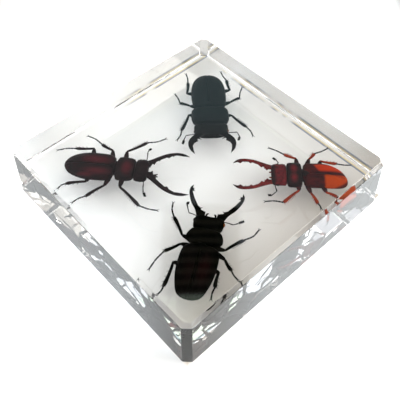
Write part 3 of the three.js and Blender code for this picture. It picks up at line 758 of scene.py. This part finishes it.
# %% [markdown]
# ## Trunk
# Three hard plates lie one behind the other: the wing cases, the pronotum and the head. Under them
# are the belly's rings. We cut the smooth body outline at the waist and the neck, and loft each
# plate over its own stretch, with its own cross-section. So a dark joint shows between the plates,
# as on the insect.

# %% Stations of the body
BODY_STEPS = 6
BACK_RISE, HEAD_RISE, BELLY_DROP = 0.5, 0.4, 0.42  # shares of the half width
NARROWEST = 0.05       # mm: no plate's half width falls below it


def sway(beetle, x):
    return beetle["sway"] * max(0.0, 1 - x / SWAY_REACH) ** 2


def hump(offset, width):
    """One at no offset, soft on both sides."""
    return math.exp(-(offset / width) ** 2)


def turns(count):
    """Evenly spaced angles once around."""
    return [2 * math.pi * k / count for k in range(count)]


def stations(beetle, start, end):
    """The body's smooth [station, half width] from one of its plan's stations to another."""
    body = beetle["body"]
    mirror = (body[1][0], -body[1][1])
    front = (body[-2][0], -body[-2][1])
    line = smooth(body, BODY_STEPS, before=mirror, after=front)
    marks = [p[0] for p in body]
    first = 0 if start is None else marks.index(start)
    last = len(body) - 1 if end is None else marks.index(end)
    return line[first * BODY_STEPS:last * BODY_STEPS + 1]


# %% Wing cases
CASE_ACROSS = 22
CASE_UNDER = 1.14      # how far round the side a case reaches, 1 being its widest line
CASE_THICK = 0.45      # mm
CASE_DEPTH = (0.35, 0.65)   # shares of it: at the side, and so much more at the seam
SUTURE_GAP = 0.05      # mm from the midline
SUTURE_DIP, SUTURE_WIDTH = 0.28, 0.32
SUTURE_RIDGE = (0.10, 0.75, 0.3)    # mm: height, place and width of a low ridge beside it
RIM_HEIGHT, RIM_AT, RIM_WIDTH = 0.12, 0.93, 0.05
FULL_RELIEF = 3        # mm of half width: a narrower body has a weaker relief


def case_height(share, half, y):
    """Height of a wing case over the mid-plane: a dome with a dipped seam and a raised rim."""
    if share <= 1:
        dome = BACK_RISE * half * math.cos(share * math.pi / 2)
    else:
        dome = -BACK_RISE * half * math.sin((share - 1) * math.pi / 2)
    height, at, width = SUTURE_RIDGE
    seam = SUTURE_DIP * hump(y, SUTURE_WIDTH) - height * hump(y - at, width)
    rim = RIM_HEIGHT * hump(share - RIM_AT, RIM_WIDTH)
    strength = min(1.0, half / FULL_RELIEF)
    return dome - seam * strength + rim * strength


def wing_case(beetle, side):
    rings = []
    for x, half in stations(beetle, None, beetle["waist"]):
        half = max(half, NARROWEST)
        shrink = max(0.0, 1 - CASE_THICK / max(half, CASE_THICK))
        outer, inner = [], []
        for k in range(CASE_ACROSS):
            share = CASE_UNDER * k / (CASE_ACROSS - 1)
            y = max(SUTURE_GAP, half * math.sin(min(share, 2 - share) * math.pi / 2))
            z = case_height(share, half, y)
            outer.append((x, side * y + sway(beetle, x), z))
            depth = CASE_DEPTH[0] + CASE_DEPTH[1] * math.cos(min(share, 1) * math.pi / 2)
            inner.append((x, side * max(SUTURE_GAP, y * shrink) + sway(beetle, x),
                          z - CASE_THICK * min(1.0, half / 2) * depth))
        ring = outer + inner[::-1]
        rings.append(ring if side < 0 else ring[::-1])
    name = "wing_case_left" if side > 0 else "wing_case_right"
    return beetle_piece(beetle, name, *loft(rings), "cases")


# %% Belly
BELLY_AROUND = 32
BELLY_INSET = (0.95, 0.1, 0.03)  # its share of the half width, mm less, and at least these mm
BELLY_LIFT = 0.2           # how far it reaches up under the wing cases
RING_PITCH = 2.6       # mm between the belly's rings
RING_STEP = 0.16       # mm by which one ring overlaps the next
RING_STEP_MOST = 0.1   # share of the half width that it never exceeds
RINGS_END = 0.62       # share of the way to the waist: ahead of it the rings are faint
FAINT_RING = 0.2


def belly(beetle):
    """The underside of the abdomen and the hind chest, with overlapping rings."""
    waist = beetle["waist"]
    rings = []
    for x, half in smooth([(p.x, p.y) for p in stations(beetle, None, waist)], 2):
        half = max(BELLY_INSET[2], half * BELLY_INSET[0] - BELLY_INSET[1])
        step = RING_STEP * ((x / RING_PITCH) % 1.0) * (1 if x < waist * RINGS_END else FAINT_RING)
        ring = []
        for angle in turns(BELLY_AROUND):
            y, lift = half * math.cos(angle), math.sin(angle)
            deep = lift * (BELLY_DROP * half - min(step, half * RING_STEP_MOST))
            z = lift * half * BELLY_LIFT if lift > 0 else deep
            ring.append((x, y + sway(beetle, x), z))
        rings.append(ring)
    return beetle_piece(beetle, "belly", *loft(rings), "pronotum")


# %% Pronotum
PLATE_AROUND = 48
DOME_POWER = 0.92      # below 1 a plate's section is fuller than an ellipse
RELIEF_FROM = 0.05     # sine of the turn above which a plate has its relief
PRONOTUM_RISE, PRONOTUM_FLAT = BACK_RISE * 0.96, 0.82
PRONOTUM_GAP = 0.12    # mm that it leaves free at both ends
MARGIN = (0.93, 0.3)   # share of the half width where the raised margin lies, and its width in mm
FURROW = (0.16, 0.5)   # mm: depth and width, and it fades out over 2 mm at both ends
FURROW_FADE = 2
FORE_FOLD = (0.18, 0.7, 0.35)  # mm: height, distance from the neck and width of a cross fold
HIND_FOLD = (0.14, 0.9, 0.35)  # the same from the waist
NOTCH_DEPTH, NOTCH_PITCH, NOTCH_DRIFT = 0.012, 1.6, 0.3


def plate_ring(x, half, rise, relief, flat):
    """A ring across a plate: flattened dome above, shallow keel below."""
    ring = []
    for angle in turns(PLATE_AROUND):
        c, s = math.cos(angle), math.sin(angle)
        y = half * math.copysign(abs(c) ** flat, c)
        z = half * (rise if s > 0 else BELLY_DROP) * math.copysign(abs(s) ** DOME_POWER, s)
        ring.append((x, y, z + (relief(x, y, half) if s > RELIEF_FROM else 0)))
    return ring


def pronotum(beetle):
    """A saddle-shaped plate with raised margins, a shallow furrow and fine notches at its sides."""
    waist, neck = beetle["waist"], beetle["neck"]

    def relief(x, y, half):
        edge = RIM_HEIGHT * hump(abs(y) - MARGIN[0] * half, MARGIN[1])
        furrow = -FURROW[0] * hump(y, FURROW[1]) * blend((x - waist) / FURROW_FADE)
        furrow *= blend((neck - x) / FURROW_FADE)
        fore = FORE_FOLD[0] * hump(x - neck + FORE_FOLD[1], FORE_FOLD[2])
        hind = HIND_FOLD[0] * hump(x - waist - HIND_FOLD[1], HIND_FOLD[2])
        return edge + furrow + fore + hind

    rings = []
    line = stations(beetle, waist, neck)
    for i, (x, half) in enumerate(line):
        at = Vector((x * NOTCH_PITCH, half * NOTCH_DRIFT, beetle["heading"]))
        notch = 1 + NOTCH_DEPTH * noise.noise(at)
        x += PRONOTUM_GAP * (1 - 2 * i / (len(line) - 1))
        rings.append(plate_ring(x, half * notch, PRONOTUM_RISE, relief, PRONOTUM_FLAT))
    return beetle_piece(beetle, "pronotum", *loft(rings), "pronotum")


# %% Head
HEAD_FLAT = 0.76
HEAD_GAP = 0.1                 # mm that it leaves free at the neck
BROW = (0.9, 1.8, 0.45, 0.1)   # mm: the scoop's depth and length; its share of the half width, mm more
RIDGES = (0.42, 0.66, 0.8)     # height in mm, share of the half width, width in mm
RIDGE_START = 2.5              # mm from the neck over which the ridges rise
CROWN = (0.22, 1.6, 0.5)       # mm: height, distance from the neck and width
FULL_HEAD = 4                  # mm of half width: a narrower stretch has a weaker relief


def head(beetle):
    """A broad, low head: a scooped brow between two ridges that run out to the jaws."""
    neck, front = beetle["neck"], beetle["body"][-4][0]

    def relief(x, y, half):
        scoop = -BROW[0] * hump(x - front, BROW[1]) * hump(y, BROW[2] * half + BROW[3])
        along = blend((x - neck) / RIDGE_START)
        ridges = RIDGES[0] * along * hump(abs(y) - RIDGES[1] * half, RIDGES[2])
        crown = CROWN[0] * hump(x - neck - CROWN[1], CROWN[2])
        return (scoop + ridges + crown) * min(1.0, half / FULL_HEAD)

    rings = []
    for i, (x, half) in enumerate(stations(beetle, neck, None)[:-1]):
        x += HEAD_GAP * max(0.0, 1 - i / BODY_STEPS)
        rings.append(plate_ring(x, max(half, NARROWEST), HEAD_RISE, relief, HEAD_FLAT))
    return beetle_piece(beetle, "head", *loft(rings), "head")


# %% [markdown]
# ## Jaws and the small shield
# A jaw is a flat, curved, toothed blade with rounded edges. Its outline lies in the plan, so we fill
# it with a net of points, and lift each by how far it is from the edge, like a pillow. The small
# shield between the wing cases is such a pillow too.

# %% Pillow over an outline
NO_LENGTH, SAME_SPOT = 1e-12, 1e-6
PILLOW_PITCH = 0.42   # mm between the net's points
PILLOW_INSETS = (0.08, 0.24)  # mm: rows of points along the edge
INSET_CLEAR, NET_CLEAR = 0.8, 1.6  # shares of an inset that stay free of other points


def sides_of(outline):
    """Each point of a closed outline with the next one."""
    return zip(outline, outline[1:] + outline[:1])


def edge_distance(point, outline):
    """Distance in the plane from a point to a closed outline."""
    nearest = math.inf
    for a, b in sides_of(outline):
        along = b - a
        t = max(0.0, min(1.0, (point - a).dot(along) / max(along.length_squared, NO_LENGTH)))
        nearest = min(nearest, (point - a - along * t).length)
    return nearest


def inside(point, outline):
    crossings = 0
    for a, b in sides_of(outline):
        if (a.y > point.y) != (b.y > point.y):
            crossings += point.x < a.x + (point.y - a.y) / (b.y - a.y) * (b.x - a.x)
    return crossings % 2 == 1


def pillow(outline, thickness, round_over, middle):
    """A closed, pillow-shaped body over an outline. `middle` gives its mid-height at a point."""
    outline = [Vector(p) for p in outline]
    if sum(a.x * b.y - b.x * a.y for a, b in sides_of(outline)) < 0:
        outline.reverse()
    flat = list(outline)
    for inset in PILLOW_INSETS:
        for before, here, after in zip(outline[-1:] + outline[:-1], outline, outline[1:] + outline[:1]):
            along = (after - before).normalized()
            point = here + Vector((-along.y, along.x)) * inset
            if inside(point, outline) and edge_distance(point, outline) > inset * INSET_CLEAR:
                flat.append(point)
    xs, ys = [p.x for p in outline], [p.y for p in outline]
    rows = int((max(ys) - min(ys)) / PILLOW_PITCH) + 1
    columns = int((max(xs) - min(xs)) / PILLOW_PITCH) + 1
    for row in range(rows):
        for column in range(columns):
            shift = 0.5 * PILLOW_PITCH * (row % 2)
            point = Vector((min(xs) + column * PILLOW_PITCH + shift, min(ys) + row * PILLOW_PITCH))
            if inside(point, outline) and edge_distance(point, outline) > NET_CLEAR * PILLOW_INSETS[1]:
                flat.append(point)
    rim = len(outline)
    edges = [(i, (i + 1) % rim) for i in range(rim)]
    net, _, triangles, origins, _, _ = delaunay_2d_cdt(flat, edges, [], 1, SAME_SPOT)
    on_rim = [any(o < rim for o in found) for found in origins]
    points, faces, below = [], [], {}
    for i, p in enumerate(net):
        depth = min(1.0, edge_distance(p, outline) / round_over)
        lift = 0 if on_rim[i] else thickness / 2 * math.sqrt(1 - (1 - depth) ** 2)
        points.append((p.x, p.y, middle(p) + lift))
    for i, p in enumerate(net):
        if on_rim[i]:
            below[i] = i
        else:
            below[i] = len(points)
            points.append((p.x, p.y, 2 * middle(p) - points[i][2]))
    for a, b, c in triangles:
        faces.append([a, b, c])
        faces.append([below[c], below[b], below[a]])
    return points, faces


# %% Jaws
JAW_THICK = 1.6
JAW_ROUND = 0.75
JAW_ARCH = 0.35        # mm by which the blade rises between its root and its tip
JAW_STEPS, JAW_EDGE_STEPS = 7, 4


def jaws(beetle):
    outer, inner = beetle["outer"], beetle["inner"]
    outline = [(p.x, p.y) for p in smooth(outer, JAW_STEPS)]
    for a, b in zip(inner, inner[1:]):
        outline += [tuple(Vector(a).lerp(Vector(b), k / JAW_EDGE_STEPS)) for k in range(JAW_EDGE_STEPS)]
    outline.append(inner[-1])
    root, tip = outer[0][0], outer[-1][0]

    def middle(p):
        """The blade rises a little from its root and bows down again to its tip."""
        return JAW_ARCH * math.sin(math.pi * min(1.0, max(0.0, (p.x - root) / (tip - root))))

    points, faces = pillow(outline, JAW_THICK, JAW_ROUND, middle)
    count = len(points)
    forward, inward, turn, stretch = beetle["right_jaw"]
    pivot = Vector((root, -outer[0][1]))
    for x, y, z in points[:]:
        spot = (Vector((x, -y)) - pivot) * stretch
        spot.rotate(Matrix.Rotation(math.radians(turn), 2))
        points.append((*(spot + pivot + Vector((forward, inward))), z))
    faces += [[i + count for i in reversed(face)] for face in faces]
    return beetle_piece(beetle, "jaws", points, faces, "jaws")


# %% Small shield between the wing cases
SHIELD = [(-0.1, -1.4), (-0.1, 1.4), (-1.2, 1.2), (-2.6, 0.01), (-1.2, -1.2)]  # mm from the waist
SHIELD_THICK, SHIELD_ROUND, SHIELD_STEPS = 0.6, 0.7, 5
SHIELD_SINK, SHIELD_SLOPE = 0.1, 0.05
SHIELD_FIT = 1.5       # mm behind the waist, where it takes its height from the body


def shield(beetle):
    waist = beetle["waist"]
    outline = smooth([(waist + x, y) for x, y in SHIELD], SHIELD_STEPS)
    half = next(p for p in stations(beetle, None, waist) if p.x > waist - SHIELD_FIT).y

    def middle(p):
        return BACK_RISE * half - SHIELD_SINK + SHIELD_SLOPE * (waist - p.x)

    points, faces = pillow([(p.x, p.y) for p in outline], SHIELD_THICK, SHIELD_ROUND, middle)
    return beetle_piece(beetle, "small_shield", points, faces, "pronotum")


# %% [markdown]
# ## Limbs with Geometry Nodes
# Legs, feelers, palps and claws are all tapering tubes along a path, so one node tree skins them: it
# takes a bare line whose points carry a `thickness`, turns it into a curve and sweeps a circle along
# it. The foot's beads, the spines, the teeth and the bristles are small shapes at points that carry
# an aim and a size, so a second tree sets an instance on each and makes them real.

# %% Node group helper
def node_group(name, **inputs):
    """An empty Geometry Nodes tree with named inputs, given as (socket type, value)."""
    group = bpy.data.node_groups.new(name, "GeometryNodeTree")
    group.interface.new_socket("Geometry", in_out="INPUT", socket_type="NodeSocketGeometry")
    for label, (kind, value) in inputs.items():
        socket = group.interface.new_socket(label, in_out="INPUT", socket_type=f"NodeSocket{kind}")
        if value is not None:
            socket.default_value = value
    group.interface.new_socket("Geometry", in_out="OUTPUT", socket_type="NodeSocketGeometry")
    return group, add_node(group, "NodeGroupInput").outputs


def finish_group(group, made, given):
    """Shade smooth, make instances real, set the material and hand the geometry out."""
    shaded = add_node(group, "GeometryNodeSetShadeSmooth", Geometry=made.outputs[0])
    real = add_node(group, "GeometryNodeRealizeInstances", Geometry=shaded.outputs[0])
    coated = add_node(group, "GeometryNodeSetMaterial", Geometry=real.outputs[0],
                      Material=given["Material"])
    add_node(group, "NodeGroupOutput", Geometry=coated.outputs[0])
    return group


# %% Tree that skins a line
def skin_tree():
    group, given = node_group("skin_of_a_limb", Sides=("Int", 10), Material=("Material", None))
    line = add_node(group, "GeometryNodeMeshToCurve", Mesh=given["Geometry"])
    girth = add_node(group, "GeometryNodeInputNamedAttribute", Name="thickness")
    section = add_node(group, "GeometryNodeCurvePrimitiveCircle", Resolution=given["Sides"], Radius=1.0)
    tube = add_node(group, "GeometryNodeCurveToMesh", Curve=line.outputs[0],
                    Profile_Curve=section.outputs[0], Scale=girth.outputs[0], Fill_Caps=True)
    return finish_group(group, tube, given)


# %% Tree that sets beads or bristles on points
CONE_TIP = 0.12   # radius of a cone's tip, its foot being 1


def seed_tree(name, bead):
    """`bead` chooses a round bead, or else a thin cone that stands on its point of the mesh."""
    group, given = node_group(name, Detail=("Int", 10), Jitter=("Float", 0.0), Seed=("Int", 7),
                              Material=("Material", None))
    detail = given["Detail"]
    if bead:
        shape = add_node(group, "GeometryNodeMeshUVSphere", Segments=detail, Rings=detail, Radius=1.0)
    else:
        shape = add_node(group, "GeometryNodeMeshCone", Vertices=detail, Side_Segments=2,
                         Radius_Top=CONE_TIP, Radius_Bottom=1.0, Depth=1.0)
    vector = {"data_type": "FLOAT_VECTOR"}
    aim, size = [add_node(group, "GeometryNodeInputNamedAttribute", vector, Name=name).outputs[0]
                 for name in ("aim", "size")]
    stray = add_node(group, "FunctionNodeRandomValue", vector, _0=(-1, -1, -1), _1=(1, 1, 1),
                     Seed=given["Seed"])
    strayed = add_node(group, "ShaderNodeVectorMath", {"operation": "SCALE"}, _0=stray.outputs[0],
                       Scale=given["Jitter"])
    turn = add_node(group, "FunctionNodeAlignRotationToVector", {"axis": "Z"},
                    Vector=vector_maths(group, "ADD", aim, strayed.outputs[0]))
    return finish_group(group, add_node(
        group, "GeometryNodeInstanceOnPoints", Points=given["Geometry"], Instance=shape.outputs[0],
        Rotation=turn.outputs[0], Scale=size), given)


SKIN = skin_tree()
BEADS = seed_tree("beads_on_points", bead=True)
CONES = seed_tree("bristles_on_points", bead=False)


# %% Grow a tree on a piece
def grown(beetle, part, group, points, values, edges=(), **settings):
    """Run a tree once on bare points and edges, and keep its result as a plain mesh."""
    piece = mesh_piece(f"{beetle['node']}_{part}", points, [], edges=edges)
    bare = piece.data
    for name, numbers in values.items():
        vectors = isinstance(numbers[0], Vector)
        layer = bare.attributes.new(name, "FLOAT_VECTOR" if vectors else "FLOAT", "POINT")
        for item, number in zip(layer.data, numbers):
            setattr(item, "vector" if vectors else "value", number)
    modifier = piece.modifiers.new(group.name, "NODES")
    modifier.node_group = group
    for item in group.interface.items_tree:
        if item.in_out == "INPUT" and item.name in settings:
            modifier[item.identifier] = settings[item.name]
    depsgraph = bpy.context.evaluated_depsgraph_get()
    made = bpy.data.meshes.new_from_object(piece.evaluated_get(depsgraph), depsgraph=depsgraph)
    piece.modifiers.clear()
    piece.data = made
    bpy.data.meshes.remove(bare)
    made.name = piece.name
    return piece


def tubes(beetle, part, strokes, finish, sides):
    """Tubes along strokes. A stroke is a list of (point in the beetle's frame, radius in mm)."""
    points, edges, radii = [], [], []
    for stroke in strokes:
        start = len(points)
        points += [placed(beetle, p) for p, _ in stroke]
        radii += [r * MM for _, r in stroke]
        edges += [(i, i + 1) for i in range(start, len(points) - 1)]
    return grown(beetle, part, SKIN, points, {"thickness": radii}, edges, Sides=sides,
                 Material=FINISHES[beetle["node"]][finish])


def seeds(beetle, part, group, marks, finish, detail, jitter=0.0):
    """Beads or cones at marks: (point, aim, size) in the beetle's frame, in mm."""
    values = {"aim": [turned(beetle, Vector(aim).normalized()) for _, aim, _ in marks],
              "size": [Vector(size) * MM for _, _, size in marks]}
    return grown(beetle, part, group, [placed(beetle, p) for p, _, _ in marks], values,
                 Detail=detail, Jitter=jitter, Material=FINISHES[beetle["node"]][finish])


# %% [markdown]
# ## Legs
# A leg has a thick thigh that comes from under the flank, a thinner shin that flares toward the
# ankle and is armed with spines on its outer side, and a foot of five beads with two hooked claws.

# %% Lines of a leg
HIP_REACH = 0.6
LEG_HEIGHTS = (-1.2, 0.0, -0.5, -0.6)  # hip, knee, ankle and claw
THIGH = (0.55, 0.9, 1.08, 1.12, 1.0, 0.8, 0.6)
SHIN = (0.42, 0.55, 0.58, 0.6, 0.64, 0.7, 0.82, 0.62)
KNEE_GAP, KNEE_LAP = 0.02, 0.3  # the thigh ends short by this share, the shin starts earlier by mm
SHIN_BOW = -0.25
ROUND_END, END_LEAST = 0.35, 0.04


def leg_points(leg):
    """Hip, knee, ankle and claw of a leg in space."""
    hip = (leg[0][0], leg[0][1] * HIP_REACH)
    return [Vector((x, y, z)) for (x, y), z in zip([hip, *leg[1:]], LEG_HEIGHTS)]


def stroke(line, radii, ends=ROUND_END):
    """Radii spread along a line, drawn in at both ends so that the tube ends round."""
    made = []
    total = sum((b - a).length for a, b in zip(line, line[1:]))
    run = 0.0
    for i, point in enumerate(line):
        spot = run / total * (len(radii) - 1)
        k = min(int(spot), len(radii) - 2)
        radius = radii[k] + (radii[k + 1] - radii[k]) * (spot - k)
        edge = min(run, total - run)
        if edge < ends:
            radius *= math.sqrt(max(END_LEAST, 1 - (1 - edge / ends) ** 2))
        made.append((point, radius))
        if i + 1 < len(line):
            run += (line[i + 1] - point).length
    return made


def dense(a, b, bow=Vector((0, 0, 0)), count=22):
    """A gently bowed line between two points, closer spaced at its ends."""
    shares = [0.5 - 0.5 * math.cos(math.pi * k / count) for k in range(count + 1)]
    return [a.lerp(b, t) + bow * math.sin(math.pi * t) for t in shares]


def aside_of(way):
    """A level direction square to another, on its left."""
    return Vector((-way.y, way.x, 0))


# %% Spines and feet
FRONT_SPINES, SPINES = (7, 0.75), (3, 0.55)  # how many a shin has, and the first one's reach in mm
SPINE_SPAN = (0.3, 0.62)         # where they start on the shin and how far they go, as shares
SPINE_GIRTH, SPINE_OUT, SPINE_LEAN, SPINE_GROWTH = 0.17, 0.45, 0.55, 0.5
SPURS = ((0.9, 1.35), (-0.7, 0.9), (0.2, 1.0))  # how far aside each points, and its reach in mm
SPUR_GIRTH, SPUR_BACK, SPUR_OUT = 0.2, 0.45, 0.3
FOOT_STEPS, CLAW_REACH = 12, 0.1
JOINTS = [0, 0.14, 0.28, 0.42, 0.56, 1.0]  # shares of the foot
BEAD_GIRTHS = (0.39, 0.39, 0.39, 0.39, 0.34)
BEAD_FILL = 0.56                 # a bead's half length, as a share of its joint's length
CLAW_BEAD, CLAW_BEAD_BACK = (0.32, 0.32, 0.55), 0.25
HAIRS, HAIR_DROP, HAIR_LEAN, HAIR = 5, 0.15, 0.6, (0.03, 0.03, 0.45)
HOOK_PATH = ((0.45, 0.4, 0), (1.0, 0.45, 0.3))  # mm ahead of a claw's root, aside of it and down
HOOK, HOOK_END = (0.17, 0.13, 0.04), 0.05  # mm: radii of a claw


def shin_spines(knee, ankle, outward, kind):
    """Spines along the outer side, longer toward the ankle, and the spurs at the ankle."""
    marks = []
    along = (ankle - knee).normalized()
    count, first = kind
    for k in range(count):
        share = SPINE_SPAN[0] + SPINE_SPAN[1] * (k + 0.5) / count
        root = knee.lerp(ankle, share) + outward * SPINE_OUT
        marks.append((root, outward + along * SPINE_LEAN,
                      (SPINE_GIRTH, SPINE_GIRTH, first + SPINE_GROWTH * share)))
    for aside, reach in SPURS:
        root = ankle - along * SPUR_BACK + outward * SPUR_OUT * (1 if aside > 0 else -1)
        marks.append((root, along + outward * aside, (SPUR_GIRTH, SPUR_GIRTH, reach)))
    return marks


def foot(ankle, claw, side, bow):
    """Four short beads and a long one, two hooked claws, and bristles under the beads."""
    way = claw - ankle
    sideways = aside_of(way).normalized() * side
    line = smooth([ankle, ankle + way * 0.5 + sideways * bow, claw - way * CLAW_REACH], FOOT_STEPS)
    beads, hairs = [], []
    for start, stop, girth in zip(JOINTS, JOINTS[1:], BEAD_GIRTHS):
        a, b = [line[round(share * (len(line) - 1))] for share in (start, stop)]
        beads.append((a.lerp(b, 0.5), b - a, (girth, girth, (b - a).length * BEAD_FILL)))
        for j in range(HAIRS):
            hairs.append((a.lerp(b, (j + 0.5) / HAIRS) - Vector((0, 0, HAIR_DROP)),
                          (b - a).normalized() * HAIR_LEAN + Vector((0, 0, -1)), HAIR))
    tip = line[-1]
    ahead = (tip - line[-4]).normalized()
    beads.append((tip - ahead * CLAW_BEAD_BACK, ahead, CLAW_BEAD))
    hooks = []
    for turn in (1, -1):
        aside = aside_of(ahead) * turn
        arc = [tip + ahead * x + aside * y - Vector((0, 0, z)) for x, y, z in HOOK_PATH]
        hooks.append(stroke(smooth([tip, *arc], 5), HOOK, HOOK_END))
    return beads, hooks, hairs


# %% Legs
def legs(beetle):
    thighs, shins, feet, claws, spines, soles = [], [], [], [], [], []
    for i, leg in enumerate(beetle["legs"]):
        hip, knee, ankle, claw = leg_points(leg)
        side = 1 if i < 3 else -1
        way = (ankle - knee).normalized()
        outward = aside_of(way) * side * (1 if way.x > 0 else -1)
        thighs.append(stroke(dense(hip, knee + (hip - knee) * KNEE_GAP), THIGH))
        shins.append(stroke(dense(knee - way * KNEE_LAP, ankle, outward * SHIN_BOW), SHIN))
        spines += shin_spines(knee, ankle, outward, FRONT_SPINES if i % 3 == 0 else SPINES)
        beads, ends, hairs = foot(ankle, claw, side, beetle["bows"][i])
        feet += beads
        claws += ends
        soles += hairs
    return [tubes(beetle, "thighs", thighs, "thighs", sides=12),
            tubes(beetle, "shins", shins, "shins", sides=12),
            seeds(beetle, "spines", CONES, spines, "shins", detail=7, jitter=0.12),
            seeds(beetle, "feet", BEADS, feet, "feet", detail=10),
            tubes(beetle, "claws", claws, "feet", sides=7),
            seeds(beetle, "foot_bristles", CONES, soles, "bristles", detail=4, jitter=0.35)]


# %% [markdown]
# ## Head gear
# A feeler is elbowed: one long joint, a lash of small beads and a club of flat leaves. Palps are
# short jointed feelers under the mouth. The eyes are round and finely faceted, half sunk in the head.

# %% Feelers
FEELER_HEIGHT, FEELER_BOW = 0.1, Vector((0.12, 0, 0.1))
SHAFT = (0.22, 0.2, 0.22, 0.3)   # mm: radii along the long joint
LASH_BEADS, LASH_GIRTH, LASH_GROWTH, LASH_FILL = 6, 0.2, 0.02, 0.62
LEAVES, LEAF_SPAN = 4, (0.1, 0.8)  # where they start on the club and how far they go, as shares
LEAF_THICK, LEAF_WIDE, LEAF_LONG = 0.3, 0.16, 0.62  # the second as a share of the club
LEAF_OUT, LEAF_LEAN = 0.12, 0.35


def feelers(beetle):
    shafts, beads = [], []
    for side, feeler in zip((1, -1), beetle["feelers"]):
        socket, elbow, club, end = [Vector((x, y, FEELER_HEIGHT)) for x, y in feeler]
        shafts.append(stroke(dense(socket, elbow, FEELER_BOW, count=14), SHAFT, ends=0.2))
        lash = club - elbow
        for k in range(LASH_BEADS):
            girth = LASH_GIRTH + LASH_GROWTH * k
            beads.append((elbow + lash * (k + 0.5) / LASH_BEADS, lash,
                          (girth, girth, lash.length / LASH_BEADS * LASH_FILL)))
        way = end - club
        leaf = Vector((way.y, -way.x, 0)).normalized() * side
        for k in range(LEAVES):
            share = LEAF_SPAN[0] + LEAF_SPAN[1] * (k + 0.5) / LEAVES
            beads.append((club + way * share + leaf * LEAF_OUT, leaf + way.normalized() * LEAF_LEAN,
                          (LEAF_THICK, way.length * LEAF_WIDE, LEAF_LONG)))
    return [tubes(beetle, "feeler_shafts", shafts, "feet", sides=8),
            seeds(beetle, "feeler_beads", BEADS, beads, "feet", detail=9)]


# %% Palps, mouth bristles and teeth
PALP = (0.46, 0.42, 0.32, 0.4, 0.26)       # mm: radii along a palp
PALP_HEIGHT, PALP_STEPS = -0.4, 6
SHORT_PALP = ((-1, 1.1), (0.6, 1.5), (1.6, 1.2))  # mm ahead of the mouth and aside, if none is drawn
BRUSH_HAIRS, BRUSH_HALF, BRUSH_GIRTH = 90, 1.6, 0.03
BRUSH_BACK, BRUSH_LOW = 0.4, (0.7, 0.2)  # mm behind the mouth; mm under it, and more per mm aside
BRUSH_SPREAD, BRUSH_TILT, BRUSH_LENGTH = 0.25, (-0.3, 0.2), (0.8, 1.5)
TOOTH_GIRTH, TOOTH_HEIGHT = 0.4, 0.25


def palps(beetle):
    front = beetle["body"][-1][0]
    lines = beetle["palps"] or [[(front + x, s * y) for x, y in SHORT_PALP] for s in (1, -1)]
    strokes = [stroke(smooth([Vector((x, y, PALP_HEIGHT)) for x, y in line], PALP_STEPS), PALP,
                      ends=0.15) for line in lines]
    brush = random.Random(len(beetle["node"]))
    hairs = []
    for _ in range(BRUSH_HAIRS):
        y = brush.uniform(-BRUSH_HALF, BRUSH_HALF)
        aim = (1, BRUSH_SPREAD * y, brush.uniform(*BRUSH_TILT))
        hairs.append(((front - BRUSH_BACK, y, -BRUSH_LOW[0] - BRUSH_LOW[1] * abs(y)), aim,
                      (BRUSH_GIRTH, BRUSH_GIRTH, brush.uniform(*BRUSH_LENGTH))))
    return [tubes(beetle, "palps", strokes, "jaws", sides=8),
            seeds(beetle, "mouth_brush", CONES, hairs, "bristles", detail=4, jitter=0.15)]


def teeth(beetle):
    """Small sharp teeth on the inner edges, only on the left jaw if the right one is turned."""
    marks = []
    for (x, y), (tip_x, tip_y) in beetle["teeth"]:
        for side in (1,) if beetle["right_jaw"][1] else (1, -1):
            marks.append(((x, side * y, TOOTH_HEIGHT), (tip_x - x, side * (tip_y - y), 0),
                          (TOOTH_GIRTH, TOOTH_GIRTH, math.hypot(tip_x - x, tip_y - y))))
    return seeds(beetle, "teeth", CONES, marks, "jaws", detail=8)


# %% Eyes
EYE_RADIUS = 1.2
EYE_WIDE, EYE_HIGH = 0.82, 0.85   # shares of the radius
EYE_SINK = 0.97
EYE_RINGS, EYE_AROUND = 14, 24


def eye(beetle, side):
    """A faceted dome: rings that close at both poles, a little longer than wide."""
    x, y = beetle["eye"]
    rings = []
    for r in range(1, EYE_RINGS):
        polar = math.pi * r / EYE_RINGS
        rings.append([(x - EYE_RADIUS * math.cos(polar), side * y * EYE_SINK
                       + EYE_RADIUS * EYE_WIDE * math.sin(polar) * math.cos(angle),
                       EYE_RADIUS * EYE_HIGH * math.sin(polar) * math.sin(angle))
                      for angle in turns(EYE_AROUND)])
    name = "left_eye" if side > 0 else "right_eye"
    return beetle_piece(beetle, name, *loft(rings), name)


# %% [markdown]
# ## Put the beetles together
# Every part of a beetle rides with the block and stands for that beetle's solid.

# %% Assemble
def beetle_parts(beetle):
    parts = [wing_case(beetle, 1), wing_case(beetle, -1), belly(beetle), pronotum(beetle),
             head(beetle), jaws(beetle), shield(beetle), teeth(beetle)]
    parts += legs(beetle) + feelers(beetle) + palps(beetle)
    parts += [eye(beetle, side) for side in (1, -1)]
    return parts


for beetle in BEETLES:
    made = beetle_parts(beetle)
    for part in made:
        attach(part, "root")
        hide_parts(beetle["node"])
    count = sum(len(p.vertices) - 2 for part in made for p in part.data.polygons)
    print(beetle["node"], len(made), "parts,", count, "triangles")
